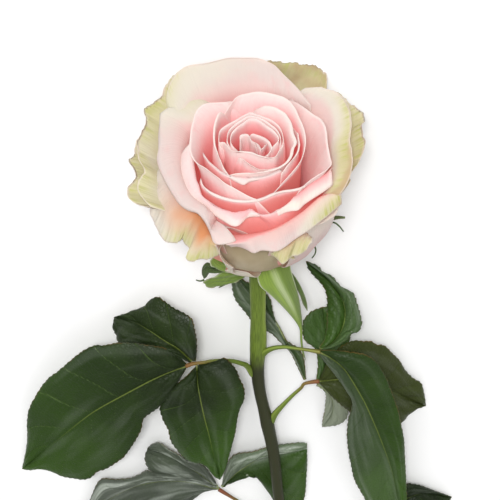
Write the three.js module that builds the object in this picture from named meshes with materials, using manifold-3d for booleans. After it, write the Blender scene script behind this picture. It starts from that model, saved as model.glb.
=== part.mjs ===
// A cut rose lying on its back: one open, many-petalled bloom, its calyx of five sepals, a stem cut across at
// the foot, and five compound leaves. Millimetres, +Z up, Y along the stem towards the bloom. Everything is
// laid out round the point where the petals join the receptacle, and the finished group is then moved so that
// its origin is at the middle of its footprint, on the surface that it lies on.
import * as THREE from "three";
import { mergeVertices } from "three/addons/utils/BufferGeometryUtils.js";
import Module from "manifold-3d";

const wasm = await Module();
wasm.setup();

// Driving dimensions
const ROSE_LENGTH = 400; // tip of the bloom to the cut end
const RECEPTACLE_HEIGHT = 20.5; // the petals' joint above the surface
const BLOOM_RISE = 27; // degrees that the bloom's axis stands above the stem's line
const BLOOM_TURN = -1.6; // degrees that the axis turns sideways
const BLOOM_HEIGHT = 50; // receptacle to the rims, along that axis
const BLOOM_LEAN = 0.1; // how much the far rim stands above the near one, for its distance across
const PETAL_THICKNESS = 0.8;
const LEAF_THICKNESS = 0.8;
const JOINT_GAP = 0.3; // between pieces that grow from each other
const PRESSED_FLAT = 0.3; // how far the surface presses into what touches it
const FACET_TOLERANCE = 0.1; // facets may leave the true surface by this much

const radians = THREE.MathUtils.degToRad;
const clamp01 = (t) => Math.min(1, Math.max(0, t));
const ease = (t) => clamp01(t) ** 2 * (3 - 2 * clamp01(t));
const vec = (x, y, z) => new THREE.Vector3(x, y, z);

// Nothing sinks into the surface: a blade that would do so lies flat on it.
function laidOn(point, halfThickness) {
  point.z = Math.max(point.z, halfThickness);
  return point;
}

// Solids

// A closed blade round the middle surface at(u, v), with u from -1 to 1 across it and v from 0 to 1 along it.
// Where it is laid on the surface, its underside is flat.
function blade(at, across, along, thickness) {
  const middle = [];
  for (let j = 0; j <= along; j++)
    for (let i = 0; i <= across; i++)
      middle.push(at(-1 + (2 * i) / across, j / along));
  const width = across + 1;
  const cell = (i, j) => middle[j * width + i];
  const normals = middle.map((_, k) => {
    const i = k % width;
    const j = Math.floor(k / width);
    const side = cell(Math.min(i + 1, across), j).clone().sub(cell(Math.max(i - 1, 0), j));
    const length = cell(i, Math.min(j + 1, along)).clone().sub(cell(i, Math.max(j - 1, 0)));
    return side.cross(length).normalize();
  });
  const positions = [];
  for (const face of [0.5, -0.5])
    middle.forEach((p, k) => {
      const skin = p.clone().addScaledVector(normals[k], face * thickness);
      if (p.z <= thickness / 2) skin.z = normals[k].z * face > 0 ? thickness : 0;
      positions.push(...skin.toArray());
    });
  const under = middle.length;
  const triangles = [];
  for (let j = 0; j < along; j++)
    for (let i = 0; i < across; i++) {
      const [a, b, c, d] = [j * width + i, j * width + i + 1, (j + 1) * width + i + 1, (j + 1) * width + i];
      triangles.push(a, b, c, a, c, d);
      triangles.push(under + a, under + c, under + b, under + a, under + d, under + c);
    }
  const rim = [];
  for (let i = 0; i < across; i++) rim.push(i);
  for (let j = 0; j < along; j++) rim.push(j * width + across);
  for (let i = across; i > 0; i--) rim.push(along * width + i);
  for (let j = along; j > 0; j--) rim.push(j * width);
  rim.forEach((a, k) => {
    const b = rim[(k + 1) % rim.length];
    triangles.push(a, under + b, b, a, under + a, under + b);
  });
  return solid(positions, triangles);
}

// A closed round bar along a curve, its radius given along it.
function bar(curve, radiusAt, sides, steps) {
  const frames = curve.computeFrenetFrames(steps, false);
  const positions = [];
  for (let j = 0; j <= steps; j++) {
    const centre = curve.getPointAt(j / steps);
    const radius = radiusAt(j / steps);
    for (let i = 0; i < sides; i++) {
      const angle = (2 * Math.PI * i) / sides;
      const p = centre.clone();
      p.addScaledVector(frames.normals[j], radius * Math.cos(angle));
      p.addScaledVector(frames.binormals[j], radius * Math.sin(angle));
      positions.push(...laidOn(p, 0).toArray());
    }
  }
  const ends = [0, steps].map((j) => {
    positions.push(...curve.getPointAt(j / steps).toArray());
    return positions.length / 3 - 1;
  });
  const triangles = [];
  for (let i = 0; i < sides; i++) {
    const next = (i + 1) % sides;
    for (let j = 0; j < steps; j++) {
      const [a, b] = [j * sides + i, j * sides + next];
      triangles.push(a, b, b + sides, a, b + sides, a + sides);
    }
    triangles.push(ends[0], next, i, ends[1], steps * sides + i, steps * sides + next);
  }
  return solid(positions, triangles);
}

// A closed solid from its corners and triangles, with its faces pointing out.
function solid(positions, triangles) {
  const vertProperties = new Float32Array(positions);
  const closed = (corners) =>
    new wasm.Manifold(new wasm.Mesh({ numProp: 3, vertProperties, triVerts: new Uint32Array(corners) }));
  const made = closed(triangles);
  return made.volume() > 0 ? made : closed(triangles.map((_, k) => triangles[k - (k % 3) + 2 - (k % 3)]));
}

// The solids as one body. What fusing seals off inside is filled and a loose scrap is dropped, by keeping the
// largest body, and the surface presses a small flat on whatever touches it.
function fused(solids) {
  const bigger = (best, other) => (other.volume() > best.volume() ? other : best);
  const largest = (made) => made.decompose().reduce(bigger);
  const body = largest(wasm.Manifold.union(solids)).simplify(FACET_TOLERANCE);
  return largest(body.trimByPlane([0, 0, 1], PRESSED_FLAT));
}

function geometryOf(made) {
  const mesh = made.getMesh();
  const positions = new Float32Array(mesh.numVert * 3);
  for (let i = 0; i < mesh.numVert; i++)
    positions.set(mesh.vertProperties.subarray(i * mesh.numProp, i * mesh.numProp + 3), i * 3);
  const geometry = new THREE.BufferGeometry();
  geometry.setAttribute("position", new THREE.BufferAttribute(positions, 3));
  geometry.setIndex(new THREE.BufferAttribute(new Uint32Array(mesh.triVerts), 1));
  return geometry;
}

function fromGeometry(geometry) {
  const plain = geometry.clone();
  plain.deleteAttribute("normal");
  plain.deleteAttribute("uv");
  const merged = mergeVertices(plain, 1e-3);
  return solid([...merged.attributes.position.array], [...merged.index.array]);
}

const rose = new THREE.Group();
function piece(name, made, material) {
  const mesh = new THREE.Mesh(geometryOf(made), material);
  mesh.name = name;
  rose.add(mesh);
}

// The bloom's own frame has its origin where the petals join the receptacle and its z along the bloom's axis.
// An azimuth of 0 is to the right, 90 towards the surface that the rose lies on, and 270 is the open front.
const bloomAxis = vec(
  Math.sin(radians(BLOOM_TURN)),
  Math.cos(radians(BLOOM_RISE)),
  Math.sin(radians(BLOOM_RISE)),
).normalize();
const bloomFoot = vec(0, 0, RECEPTACLE_HEIGHT);
const bloomRight = vec(0, 0, 1).cross(bloomAxis).normalize().negate();
const bloomBack = bloomAxis.clone().cross(bloomRight);
const bloomFrame = new THREE.Matrix4()
  .makeBasis(bloomRight, bloomBack, bloomAxis)
  .setPosition(bloomFoot);

// Petals

// How wide a petal is at v along it, for its spread: 0.6 at the foot, full at BROADEST, then a little less.
const BROADEST = 0.6;
function petalWidth(v) {
  if (v < BROADEST) return 0.6 + 0.4 * Math.sin((v / BROADEST) * (Math.PI / 2));
  return 1 - 0.2 * ((v - BROADEST) / (1 - BROADEST)) ** 2;
}

// Each petal follows an outline through its foot, belly, shoulder, rim and rolled lip, wrapped round the axis.
// Lengths are in millimetres and turns in degrees. slant moves one side edge out and the other in, so that
// neighbours overlap like tiles; wave ripples the rim, and round takes the corners off it.
const PETAL_DEFAULTS = { slant: 1, wave: 0, phase: 0, round: 0.14, across: 6, along: 4 };
function petal(settings) {
  const { turn, spread, belly, rim, tall, lip, slant, wave, phase, round, across, along } = {
    ...PETAL_DEFAULTS,
    ...settings,
  };
  const outline = new THREE.SplineCurve([
    new THREE.Vector2(1 + 0.1 * belly, 0),
    new THREE.Vector2(0.56 * belly, 0.1 * tall),
    new THREE.Vector2(0.87 * belly, 0.33 * tall),
    new THREE.Vector2(belly, 0.62 * tall),
    new THREE.Vector2(rim, tall),
    new THREE.Vector2(rim + lip[0], tall + lip[1]),
  ]);
  return blade(
    (u, t) => {
      const v = 1 - (1 - t) ** 1.25;
      const p = outline.getPointAt(clamp01(v * (1 - round * Math.abs(u) ** 2.4)));
      const angle = radians(turn + spread * petalWidth(v) * u);
      const ripple = wave * v ** 3 * Math.sin(u * 4.2 + phase);
      const radius = Math.max(1.2, p.x + slant * u) + ripple;
      const back = radius * Math.sin(angle);
      const height = p.y + 0.6 * ripple + BLOOM_LEAN * back * (p.y / BLOOM_HEIGHT) ** 2;
      const point = vec(radius * Math.cos(angle), back, height).applyMatrix4(bloomFrame);
      return laidOn(point, PETAL_THICKNESS / 2);
    },
    across,
    along,
    PETAL_THICKNESS,
  );
}

// The heart is one spiral of petals, each wider round than the one inside it.
const HEART_PETALS = 8;
const GOLDEN_ANGLE = 137.5;
const HEART_START = 80;
const heart = Array.from({ length: HEART_PETALS }, (_, k) => {
  const radius = 2.6 + k + 0.04 * k * k;
  const closed = 0.88 + 0.01 * k;
  return {
    turn: HEART_START - GOLDEN_ANGLE * k,
    spread: 115 - 4.5 * k,
    belly: radius,
    rim: radius * closed,
    tall: 55.4 - 0.15 * k,
    lip: [0.1 * k, 0.9],
    slant: 0.4,
    round: 0.07,
    along: 3,
  };
});

// The rings round the heart, from the inside out.
const INNER_PETALS = [
  { turn: 262, spread: 75, belly: 14, rim: 13, tall: 53.6, lip: [0.9, 0.4], slant: -0.8, along: 3 },
  { turn: 20, spread: 70, belly: 14.8, rim: 13.8, tall: 54.6, lip: [0.9, 0.7], along: 3 },
  { turn: 135, spread: 75, belly: 15.4, rim: 14.8, tall: 55, lip: [0.9, 0.7], along: 3 },
  { turn: 258, spread: 80, belly: 17.6, rim: 16.4, tall: 53, lip: [1.5, 0.2], slant: -2, along: 3 },
  { turn: 30, spread: 62, belly: 18.6, rim: 18.4, tall: 54, lip: [1.2, 0.6], slant: 1.2, along: 3 },
  { turn: 110, spread: 60, belly: 19.4, rim: 20.5, tall: 54.5, lip: [1.4, 0.8], slant: 0.8, along: 3 },
];
const MIDDLE_PETALS = [
  { turn: 268, spread: 62, belly: 21, rim: 20.5, tall: 51.5, lip: [2, -0.4], slant: 0.4 },
  { turn: 178, spread: 66, belly: 22, rim: 22, tall: 52, lip: [1.6, 0.6], slant: -2.5 },
  { turn: 85, spread: 52, belly: 24, rim: 26.5, tall: 52.5, lip: [2.4, 1], slant: 1 },
  { turn: 10, spread: 52, belly: 23.6, rim: 25, tall: 50.5, lip: [2.6, 0.6], slant: 1.6 },
  { turn: 264, spread: 62, belly: 25.4, rim: 25.2, tall: 49, lip: [4, -3.6], slant: 0.5, wave: 1.1, phase: 2.4 },
];
const OUTER_PETALS = [
  { turn: 104, spread: 50, belly: 30, rim: 39.5, tall: 49, lip: [6.5, 1.5] },
  { turn: 17, spread: 48, belly: 30, rim: 35, tall: 47, lip: [4.5, 0.5] },
  { turn: 173, spread: 50, belly: 29.6, rim: 34, tall: 47.5, lip: [3.6, 0], slant: -1.5 },
  { turn: 290, spread: 50, belly: 28.6, rim: 30.5, tall: 46.5, lip: [7, -4], wave: 0.6, phase: 1 },
  { turn: 236, spread: 42, belly: 28.4, rim: 29, tall: 43, lip: [2, -1] },
];
const GUARD_PETALS = [
  { turn: 62, spread: 36, belly: 35.6, rim: 43, tall: 42, lip: [9, -1], wave: 1.4, phase: 1 },
  { turn: 98, spread: 38, belly: 38.4, rim: 42.5, tall: 43, lip: [4, -1], wave: 1, phase: 3 },
  { turn: 142, spread: 38, belly: 35.4, rim: 42, tall: 43, lip: [6.5, -1], wave: 1.2, phase: 3 },
  { turn: 188, spread: 30, belly: 34, rim: 41.5, tall: 40, lip: [5.5, -4], wave: 1.2, phase: 5 },
  { turn: 223, spread: 35, belly: 31.6, rim: 37, tall: 37.5, lip: [8, -5], wave: 1.2, phase: 1 },
  { turn: 272, spread: 36, belly: 29.6, rim: 31, tall: 36, lip: [4.5, -2], wave: 1.2, phase: 4 },
  { turn: 312, spread: 34, belly: 30.5, rim: 32.4, tall: 38, lip: [2, 0], wave: 1.2 },
  { turn: 12, spread: 38, belly: 33, rim: 37, tall: 42, lip: [3.6, -1], wave: 1.2, phase: 2 },
];

// A solid turned from its outline round the bloom's axis.
function turned(outline, sides) {
  const lathe = new THREE.LatheGeometry(outline.map(([r, z]) => new THREE.Vector2(r, z)), sides);
  return fromGeometry(lathe.rotateX(Math.PI / 2).applyMatrix4(bloomFrame));
}

// The core fills the foot of the bloom, where the petals grow together.
const CORE_OUTLINE = [[0, 0], [5, 0], [20, 7], [25.5, 14], [22, 24], [8, 36], [0, 37]];
function bloom() {
  const petals = [heart, INNER_PETALS, MIDDLE_PETALS, OUTER_PETALS, GUARD_PETALS].flat().map(petal);
  const foot = bloomFoot.dot(bloomAxis) + JOINT_GAP;
  return fused([turned(CORE_OUTLINE, 12), ...petals].map((made) => made.trimByPlane(bloomAxis.toArray(), foot)));
}

// Calyx

// The urn that the petals stand in, then five sepals bent back from its edge. Each sepal follows a line in the
// bloom's frame and is broadest a third of the way along.
const URN_OUTLINE = [[0, 0], [5, 0], [5.8, -2.4], [6, -5], [5.2, -8], [4.2, -10], [0, -10]];
const SEPALS = [
  {
    half: 6.8,
    line: [
      [2, -4.6, -1.8], [5.6, -14, -3.6], [10.5, -18, -11], [15, -17.6, -25], [17.6, -16, -38], [19.6, -15, -56],
    ],
  },
  { half: 6, line: [[-3.4, -4, -1.8], [-10, -9, -3.6], [-17, -11, -5], [-21.5, -12, -9], [-22, -13, -15]] },
  { half: 4, line: [[4.6, -0.8, -1.8], [15, -1, 0.6], [25, -1.6, 6.4], [34.6, -2, 16]] },
  { half: 4.4, line: [[-4.4, 2.4, -1.8], [-13, 6, -5], [-20, 8, -12], [-24, 7, -21]] },
  { half: 4.4, line: [[1.6, 4.6, -1.8], [5, 10, -4.6], [9, 11, -13], [12, 8, -23]] },
];

function onLine(line, v) {
  const t = clamp01(v);
  return { at: line.getPointAt(t), way: line.getTangentAt(t) };
}

function sepal({ line, half }) {
  const midrib = new THREE.CatmullRomCurve3(line.map((p) => vec(...p).applyMatrix4(bloomFrame)));
  return blade(
    (u, v) => {
      const { at, way } = onLine(midrib, v);
      const round = bloomAxis.clone().cross(at.clone().sub(bloomFoot));
      const side = round.addScaledVector(way, -round.dot(way)).normalize();
      const reach = u * Math.max(0.4, half * Math.sin(Math.PI * clamp01(0.25 + 0.95 * v) ** 0.9) ** 1.3);
      at.addScaledVector(side, reach).addScaledVector(way.clone().cross(side), (-0.15 * reach * reach) / half);
      return laidOn(at, LEAF_THICKNESS / 2);
    },
    4,
    8,
    LEAF_THICKNESS,
  );
}

function calyx() {
  return fused([turned(URN_OUTLINE, 14), ...SEPALS.map(sepal)]);
}

// Stem

// The stem leaves the urn, levels out and comes down to the surface at its cut end. It is thickest at the neck
// and swells where each leaf stalk grows out.
const STEM_LINE = [
  [0.6, -15, 14.2], [0.8, -31, 12.6], [1, -53, 11.4], [0.6, -64, 10.9], [1.8, -77, 10.5], [4.4, -90, 10],
  [8, -110, 9.3], [10.6, -135, 8.5], [14, -160, 7.7], [17, -215, 6.2], [17.5, -270, 4.6],
];
const STEM_RADII = [
  [-340, 3], [-200, 2.7], [-164, 2.4], [-156, 2.9], [-146, 2.3], [-120, 2.4], [-102, 2.9], [-93, 3.3],
  [-82, 2.8], [-70, 3.2], [-60, 3.9], [-52, 4.1], [-40, 3.6], [-20, 3.8], [0, 4.4],
]; // each is the place along Y, then the radius there
const CUT_SLANT = 25; // degrees
const STEM_SPARE = [2, 6]; // what the line runs on past the neck and past the cut, before both are trimmed
function stemRadius(y) {
  const k = Math.max(1, STEM_RADII.findIndex(([at]) => at >= y));
  const [[y0, r0], [y1, r1]] = [STEM_RADII[k - 1], STEM_RADII[k]];
  return r0 + (r1 - r0) * ease((y - y0) / (y1 - y0));
}
function stem(cutEnd, allowance = 0) {
  const urnFoot = URN_OUTLINE.at(-1)[1];
  const line = new THREE.CatmullRomCurve3([
    vec(0, 0, urnFoot + STEM_SPARE[0]).applyMatrix4(bloomFrame),
    ...STEM_LINE.map((p) => vec(...p)),
    vec(15, cutEnd - STEM_SPARE[1], stemRadius(cutEnd) - 0.1),
  ]);
  const slant = radians(CUT_SLANT);
  const down = bloomAxis.clone().negate();
  return bar(line, (t) => stemRadius(line.getPointAt(t).y) + allowance, 10, 34)
    .trimByPlane([0, Math.cos(slant), -Math.sin(slant)], cutEnd * Math.cos(slant))
    .trimByPlane(down.toArray(), down.dot(bloomFoot) - urnFoot + JOINT_GAP);
}

// Leaves

// A leaflet is a blade along its midrib: broad near its base, drawn to a point, and toothed along both edges.
// roll turns it about the midrib, fold lifts both halves, and droop bends their edges down again.
// half is its half width, and full says how near the base it is broadest.
function leaflet({ midrib, half, full = 0.8, roll = 0, fold = 0.1, droop = 0.25, teeth = 8 }) {
  const line = new THREE.CatmullRomCurve3(midrib.map((p) => vec(...p)));
  return blade(
    (u, v) => {
      const { at, way } = onLine(line, v);
      const side = way.clone().cross(vec(0, 0, 1)).normalize().applyAxisAngle(way, radians(roll));
      const outline = Math.sin(Math.PI * v ** full) ** (0.6 + 0.5 * v);
      const tooth = Math.abs(u) === 1 ? 0.965 + 0.035 * Math.cos(2 * Math.PI * teeth * v) : 1;
      const reach = u * Math.max(0.4, half * outline * tooth);
      const lift = fold * Math.abs(reach) - (droop * reach * reach) / half;
      at.addScaledVector(side, reach).addScaledVector(side.clone().cross(way), lift);
      return laidOn(at, LEAF_THICKNESS / 2);
    },
    4,
    2 * teeth,
    LEAF_THICKNESS,
  );
}

function stalk(line, base = 1.6, tip = 0.8) {
  const curve = new THREE.CatmullRomCurve3(line.map((p) => vec(...p)));
  return bar(curve, (t) => tip + (base - tip) * (1 - t) ** 2, 6, 7);
}

const LEAVES = {
  leaf_left: {
    stalk: [[-1, -68, 11], [-7, -60, 15], [-14, -57, 18], [-21, -57, 19], [-26, -58, 19]],
    leaflets: [
      { half: 22, teeth: 10, midrib: [[-24, -57.6, 19], [-46, -66, 21], [-77, -91, 15], [-106, -122, 0.3]] },
      { half: 15, teeth: 7, midrib: [[-22, -57.4, 19], [-36, -47, 19], [-49, -42, 14], [-60, -43, 5]] },
      { half: 16, teeth: 9, midrib: [[-22, -57.6, 19], [-22, -77, 22], [-20, -96, 20], [-16, -120, 13]] },
    ],
  },
  leaf_right_upper: {
    stalk: [[1, -61, 11], [7, -52, 16], [12, -50, 19], [19, -50, 22], [25, -50.5, 23], [30, -52, 24]],
    leaflets: [
      {
        half: 15,
        full: 1.15,
        roll: 24,
        fold: 0.5,
        droop: 0.1,
        teeth: 10,
        midrib: [[28, -51.6, 24], [37, -57, 27], [47, -74, 26], [51.5, -94, 22], [56, -125, 15], [60, -156, 9]],
      },
      {
        half: 6.6,
        teeth: 7,
        midrib: [[28, -51.6, 23.6], [37.6, -43, 20], [37, -30, 15], [30, -22, 9], [21, -17, 5]],
      },
    ],
  },
  leaf_right_lower: {
    stalk: [[6, -95, 9.5], [11, -86, 11], [16, -78, 12.5], [21, -71.5, 14], [27, -69, 14]],
    leaflets: [
      { half: 16, midrib: [[25, -69.4, 14], [38, -68, 15.5], [56, -73, 12], [76, -90, 0.3]] },
      { half: 7, roll: -40, midrib: [[21.6, -71.2, 14], [14.6, -61, 8], [8, -51, 5], [1, -40, 3], [-9, -26, 2]] },
      {
        half: 9.6,
        droop: 0.1,
        teeth: 7,
        midrib: [[24.6, -70, 14], [29.6, -60, 11.6], [31, -49, 8.6], [27, -37, 4]],
      },
      { half: 7.4, teeth: 6, midrib: [[25, -70, 14], [31, -79, 10.6], [34, -90, 6.4], [34.6, -102, 2]] },
    ],
  },
  leaf_low_left: {
    stalk: [[15, -158, 7.6], [3, -145, 7.5], [-7, -138, 7], [-17, -131.5, 6.5]],
    leaflets: [
      {
        half: 14,
        fold: 0,
        droop: 0.5,
        teeth: 9,
        midrib: [[-15, -132, 6.5], [-34, -127, 8], [-57, -134, 7], [-84, -159, 2]],
      },
      { half: 9, teeth: 7, midrib: [[-15, -132, 6.5], [-25, -122, 7], [-38, -112, 6], [-51, -111, 2]] },
      {
        half: 15,
        full: 1.1,
        fold: 0,
        droop: 0.4,
        teeth: 7,
        midrib: [[-14, -132.4, 6.5], [-2, -124, 4.4], [13, -120, 3], [27, -124, 1]],
      },
    ],
  },
  leaf_low_right: {
    stalk: [[18, -191, 7], [35, -172, 6], [51, -154, 5]],
    leaflets: [
      { half: 13, midrib: [[49, -156, 5], [64, -140, 6], [77, -134, 5], [92, -139, 1]] },
      { half: 11, teeth: 7, midrib: [[47, -159, 5.3], [60, -166, 5], [74, -176, 3], [84, -188, 0.4]] },
      { half: 11, teeth: 7, midrib: [[43, -163, 5.3], [40, -180, 4], [42, -198, 2], [46, -212, 0.4]] },
    ],
  },
};

// The pieces
const finish = (color, roughness) => new THREE.MeshStandardMaterial({ color, roughness, metalness: 0 });
const bloomSolid = bloom();
const cutEnd = bloomSolid.boundingBox().max[1] - ROSE_LENGTH;
piece("bloom", bloomSolid, finish(0xf3cdc9, 0.6));
piece("calyx", calyx(), finish(0x8aa84a, 0.6));
piece("stem", fused([stem(cutEnd)]), finish(0x55702c, 0.5));
const room = stem(cutEnd, JOINT_GAP);
for (const [name, leaf] of Object.entries(LEAVES)) {
  const made = fused([stalk(leaf.stalk).subtract(room), ...leaf.leaflets.map(leaflet)]);
  piece(name, made, finish(0x35502a, 0.35));
}

// The origin goes to the middle of the footprint, on the surface.
const box = new THREE.Box3().setFromObject(rose);
const footprint = box.getCenter(vec(0, 0, 0)).setZ(box.min.z);
rose.children.forEach((mesh) => mesh.geometry.translate(-footprint.x, -footprint.y, -footprint.z));

export default rose;
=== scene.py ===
"""A cut rose lying on its back, dressed round its CAD solids: thin petals in their rings, the calyx and its
sepals, the green stem and the toothed, veined leaves, on a pale floor in soft light.

Shapes are worked out in millimetres in the frame that the CAD solids were laid out in, with Y along the stem
towards the bloom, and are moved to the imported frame, in metres, when each piece is made.
"""

import math
import random

import bpy
import numpy as np
from mathutils import Matrix, Vector


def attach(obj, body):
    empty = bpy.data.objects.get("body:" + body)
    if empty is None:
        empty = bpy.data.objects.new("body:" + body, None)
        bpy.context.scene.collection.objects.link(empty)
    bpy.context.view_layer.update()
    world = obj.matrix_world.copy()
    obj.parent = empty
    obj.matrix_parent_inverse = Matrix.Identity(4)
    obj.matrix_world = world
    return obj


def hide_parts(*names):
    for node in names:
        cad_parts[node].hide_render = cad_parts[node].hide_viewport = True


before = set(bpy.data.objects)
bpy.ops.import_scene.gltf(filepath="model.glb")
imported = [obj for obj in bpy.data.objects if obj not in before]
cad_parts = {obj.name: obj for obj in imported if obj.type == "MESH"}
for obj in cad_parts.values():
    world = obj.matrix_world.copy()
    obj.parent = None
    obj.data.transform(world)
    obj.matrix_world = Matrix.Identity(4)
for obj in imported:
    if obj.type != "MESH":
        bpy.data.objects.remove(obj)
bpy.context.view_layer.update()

# The layout frame
MM = 0.001
LAYOUT_ORIGIN = np.array((7.06, 130.1, -0.3))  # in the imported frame, in millimetres
SURFACE = 0.3  # the height in the layout frame of what the rose lies on
RECEPTACLE = np.array((0.0, 0.0, 20.5))  # where the petals join

# The bloom's frame
BLOOM_RISE = math.radians(27)  # the bloom's axis above the stem's line
BLOOM_TURN = math.radians(-1.6)
BLOOM_HEIGHT = 50.0
BLOOM_LEAN = 0.1  # how much the far rim stands above the near one, for its distance across


def unit(vector):
    return vector / np.linalg.norm(vector)


BLOOM_AXIS = unit(np.array((math.sin(BLOOM_TURN), math.cos(BLOOM_RISE), math.sin(BLOOM_RISE))))
BLOOM_RIGHT = unit(np.cross(BLOOM_AXIS, (0, 0, 1)))
BLOOM_BACK = np.cross(BLOOM_AXIS, BLOOM_RIGHT)
BLOOM_FRAME = np.array((BLOOM_RIGHT, BLOOM_BACK, BLOOM_AXIS))

# The camera looks down on the rose at the photograph's angle
VIEW_TILT = math.radians(25)  # from straight down, towards the tip of the bloom
VIEW_RIGHT = np.array((1.0, 0.0, 0.0))
VIEW_UP = np.array((0.0, math.cos(VIEW_TILT), -math.sin(VIEW_TILT)))
VIEW_TOWARD = np.array((0.0, math.sin(VIEW_TILT), math.cos(VIEW_TILT)))
VIEW_DISTANCE = 500.0
VIEW_WIDTH = 200.0  # what the picture spans at the receptacle
VIEW_MIDDLE = RECEPTACLE - 2.5 * VIEW_RIGHT - 4.2 * VIEW_UP
PICTURE_SIZE = 500  # pixels, both ways
EYE = VIEW_MIDDLE + VIEW_DISTANCE * VIEW_TOWARD
SENSOR = 36.0
NEAREST, FARTHEST = 0.02, 20  # what the camera shows, in metres


def sight(x, y):
    """The way that the camera looks through a pixel of the picture."""
    scale, half = VIEW_WIDTH / PICTURE_SIZE, PICTURE_SIZE / 2
    return VIEW_MIDDLE + VIEW_RIGHT * (x - half) * scale + VIEW_UP * (half - y) * scale - EYE


def over(x, y, height):
    """The point at this height of the layout frame that the picture shows at this pixel."""
    way = sight(x, y)
    return EYE + way * (height - EYE[2]) / way[2]


def to_packed(points):
    """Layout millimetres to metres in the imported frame."""
    return (np.asarray(points) + LAYOUT_ORIGIN) * MM


def make_camera():
    data = bpy.data.cameras.new("camera")
    data.sensor_width = SENSOR
    data.lens = SENSOR * VIEW_DISTANCE / VIEW_WIDTH
    data.clip_start, data.clip_end = NEAREST, FARTHEST
    camera = bpy.data.objects.new("camera", data)
    bpy.context.scene.collection.objects.link(camera)
    axes = Matrix([VIEW_RIGHT.tolist(), VIEW_UP.tolist(), VIEW_TOWARD.tolist()]).transposed()
    camera.matrix_world = Matrix.Translation(Vector(to_packed(EYE))) @ axes.to_4x4()
    bpy.context.scene.camera = camera


make_camera()


# Curves and surfaces
STEPS_BETWEEN_KNOTS = 16


def smooth(value, low=0.0, high=1.0):
    """0 up to low, 1 from high, and a smooth step between."""
    t = np.clip((value - low) / (high - low), 0, 1)
    return t * t * (3 - 2 * t)


def through(knots, wanted):
    """Points on a smooth curve through the knots, this many of them or at these shares of its length."""
    knots = np.asarray(knots, float)
    padded = np.concatenate(([2 * knots[0] - knots[1]], knots, [2 * knots[-1] - knots[-2]]))
    fine = []
    for k in range(len(knots) - 1):
        p0, p1, p2, p3 = padded[k : k + 4]
        for t in np.arange(STEPS_BETWEEN_KNOTS) / STEPS_BETWEEN_KNOTS:
            fine.append(
                p1
                + 0.5 * t * (p2 - p0)
                + t**2 * (p0 - 2.5 * p1 + 2 * p2 - 0.5 * p3)
                + 0.5 * t**3 * (p3 - p0 + 3 * (p1 - p2))
            )
    fine = np.array(fine + [knots[-1]])
    shares = np.linspace(0, 1, wanted) if np.isscalar(wanted) else wanted
    steps = np.linalg.norm(np.diff(fine, axis=0), axis=1)
    length = np.concatenate(([0], np.cumsum(steps)))
    return np.stack([np.interp(shares * length[-1], length, column) for column in fine.T], axis=-1)


def ripples(seed, value, waves=4, first=1.0):
    """A smooth, seeded, irregular wave of about -1 to 1 along value."""
    draw = random.Random(seed)
    total = 0
    for k in range(waves):
        pitch = first * (1 + k * draw.uniform(0.8, 1.2))
        total = total + np.sin(value * pitch * 2 * math.pi + draw.uniform(0, 6.3)) / (1 + 0.6 * k)
    return total / 1.6


def gap_to_end(grid):
    """How far each point of a surface is from its last row, in millimetres."""
    down = np.linalg.norm(np.diff(grid, axis=0), axis=2)
    return np.concatenate((np.cumsum(down[::-1], axis=0)[::-1], np.zeros((1, grid.shape[1]))))


def gap_to_edge(grid):
    """How far each point of a surface is from its free edges, in millimetres. The first row isn't an edge."""
    aside = np.linalg.norm(np.diff(grid, axis=1), axis=2)
    start = np.zeros((grid.shape[0], 1))
    left = np.concatenate((start, np.cumsum(aside, axis=1)), axis=1)
    right = np.concatenate((np.cumsum(aside[:, ::-1], axis=1)[:, ::-1], start), axis=1)
    return np.minimum(gap_to_end(grid), np.minimum(left, right))


def grid_normals(grid):
    across = np.gradient(grid, axis=1)
    along = np.gradient(grid, axis=0)
    normals = np.cross(across, along)
    return normals / np.maximum(np.linalg.norm(normals, axis=2, keepdims=True), 1e-9)


def lifted(grid, lift):
    """The surface moved by lift along its upper side's normals."""
    normals = grid_normals(grid)
    return grid + np.sign(normals[..., 2].mean()) * normals * lift[..., None]


def flipped(grid, fields):
    """The surface with its sides exchanged, which turns its front round."""
    return grid[:, ::-1], {name: values[:, ::-1] for name, values in fields.items()}


def facing(grid, fields, upward=True):
    """The surface turned so that its front is up, or down."""
    if (grid_normals(grid)[..., 2].mean() > 0) == upward:
        return grid, fields
    return flipped(grid, fields)


# Pieces
EDGE_SHARE = 0.35  # how thick a blade is at its edge, for its thickness
THINNING = 1.5  # how far in from the edge a blade has its whole thickness
CAP_SHARE = 0.3  # how far a bar's end bulges, for its radius
THIN_SIDES = 8  # of the thinnest bars


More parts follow.
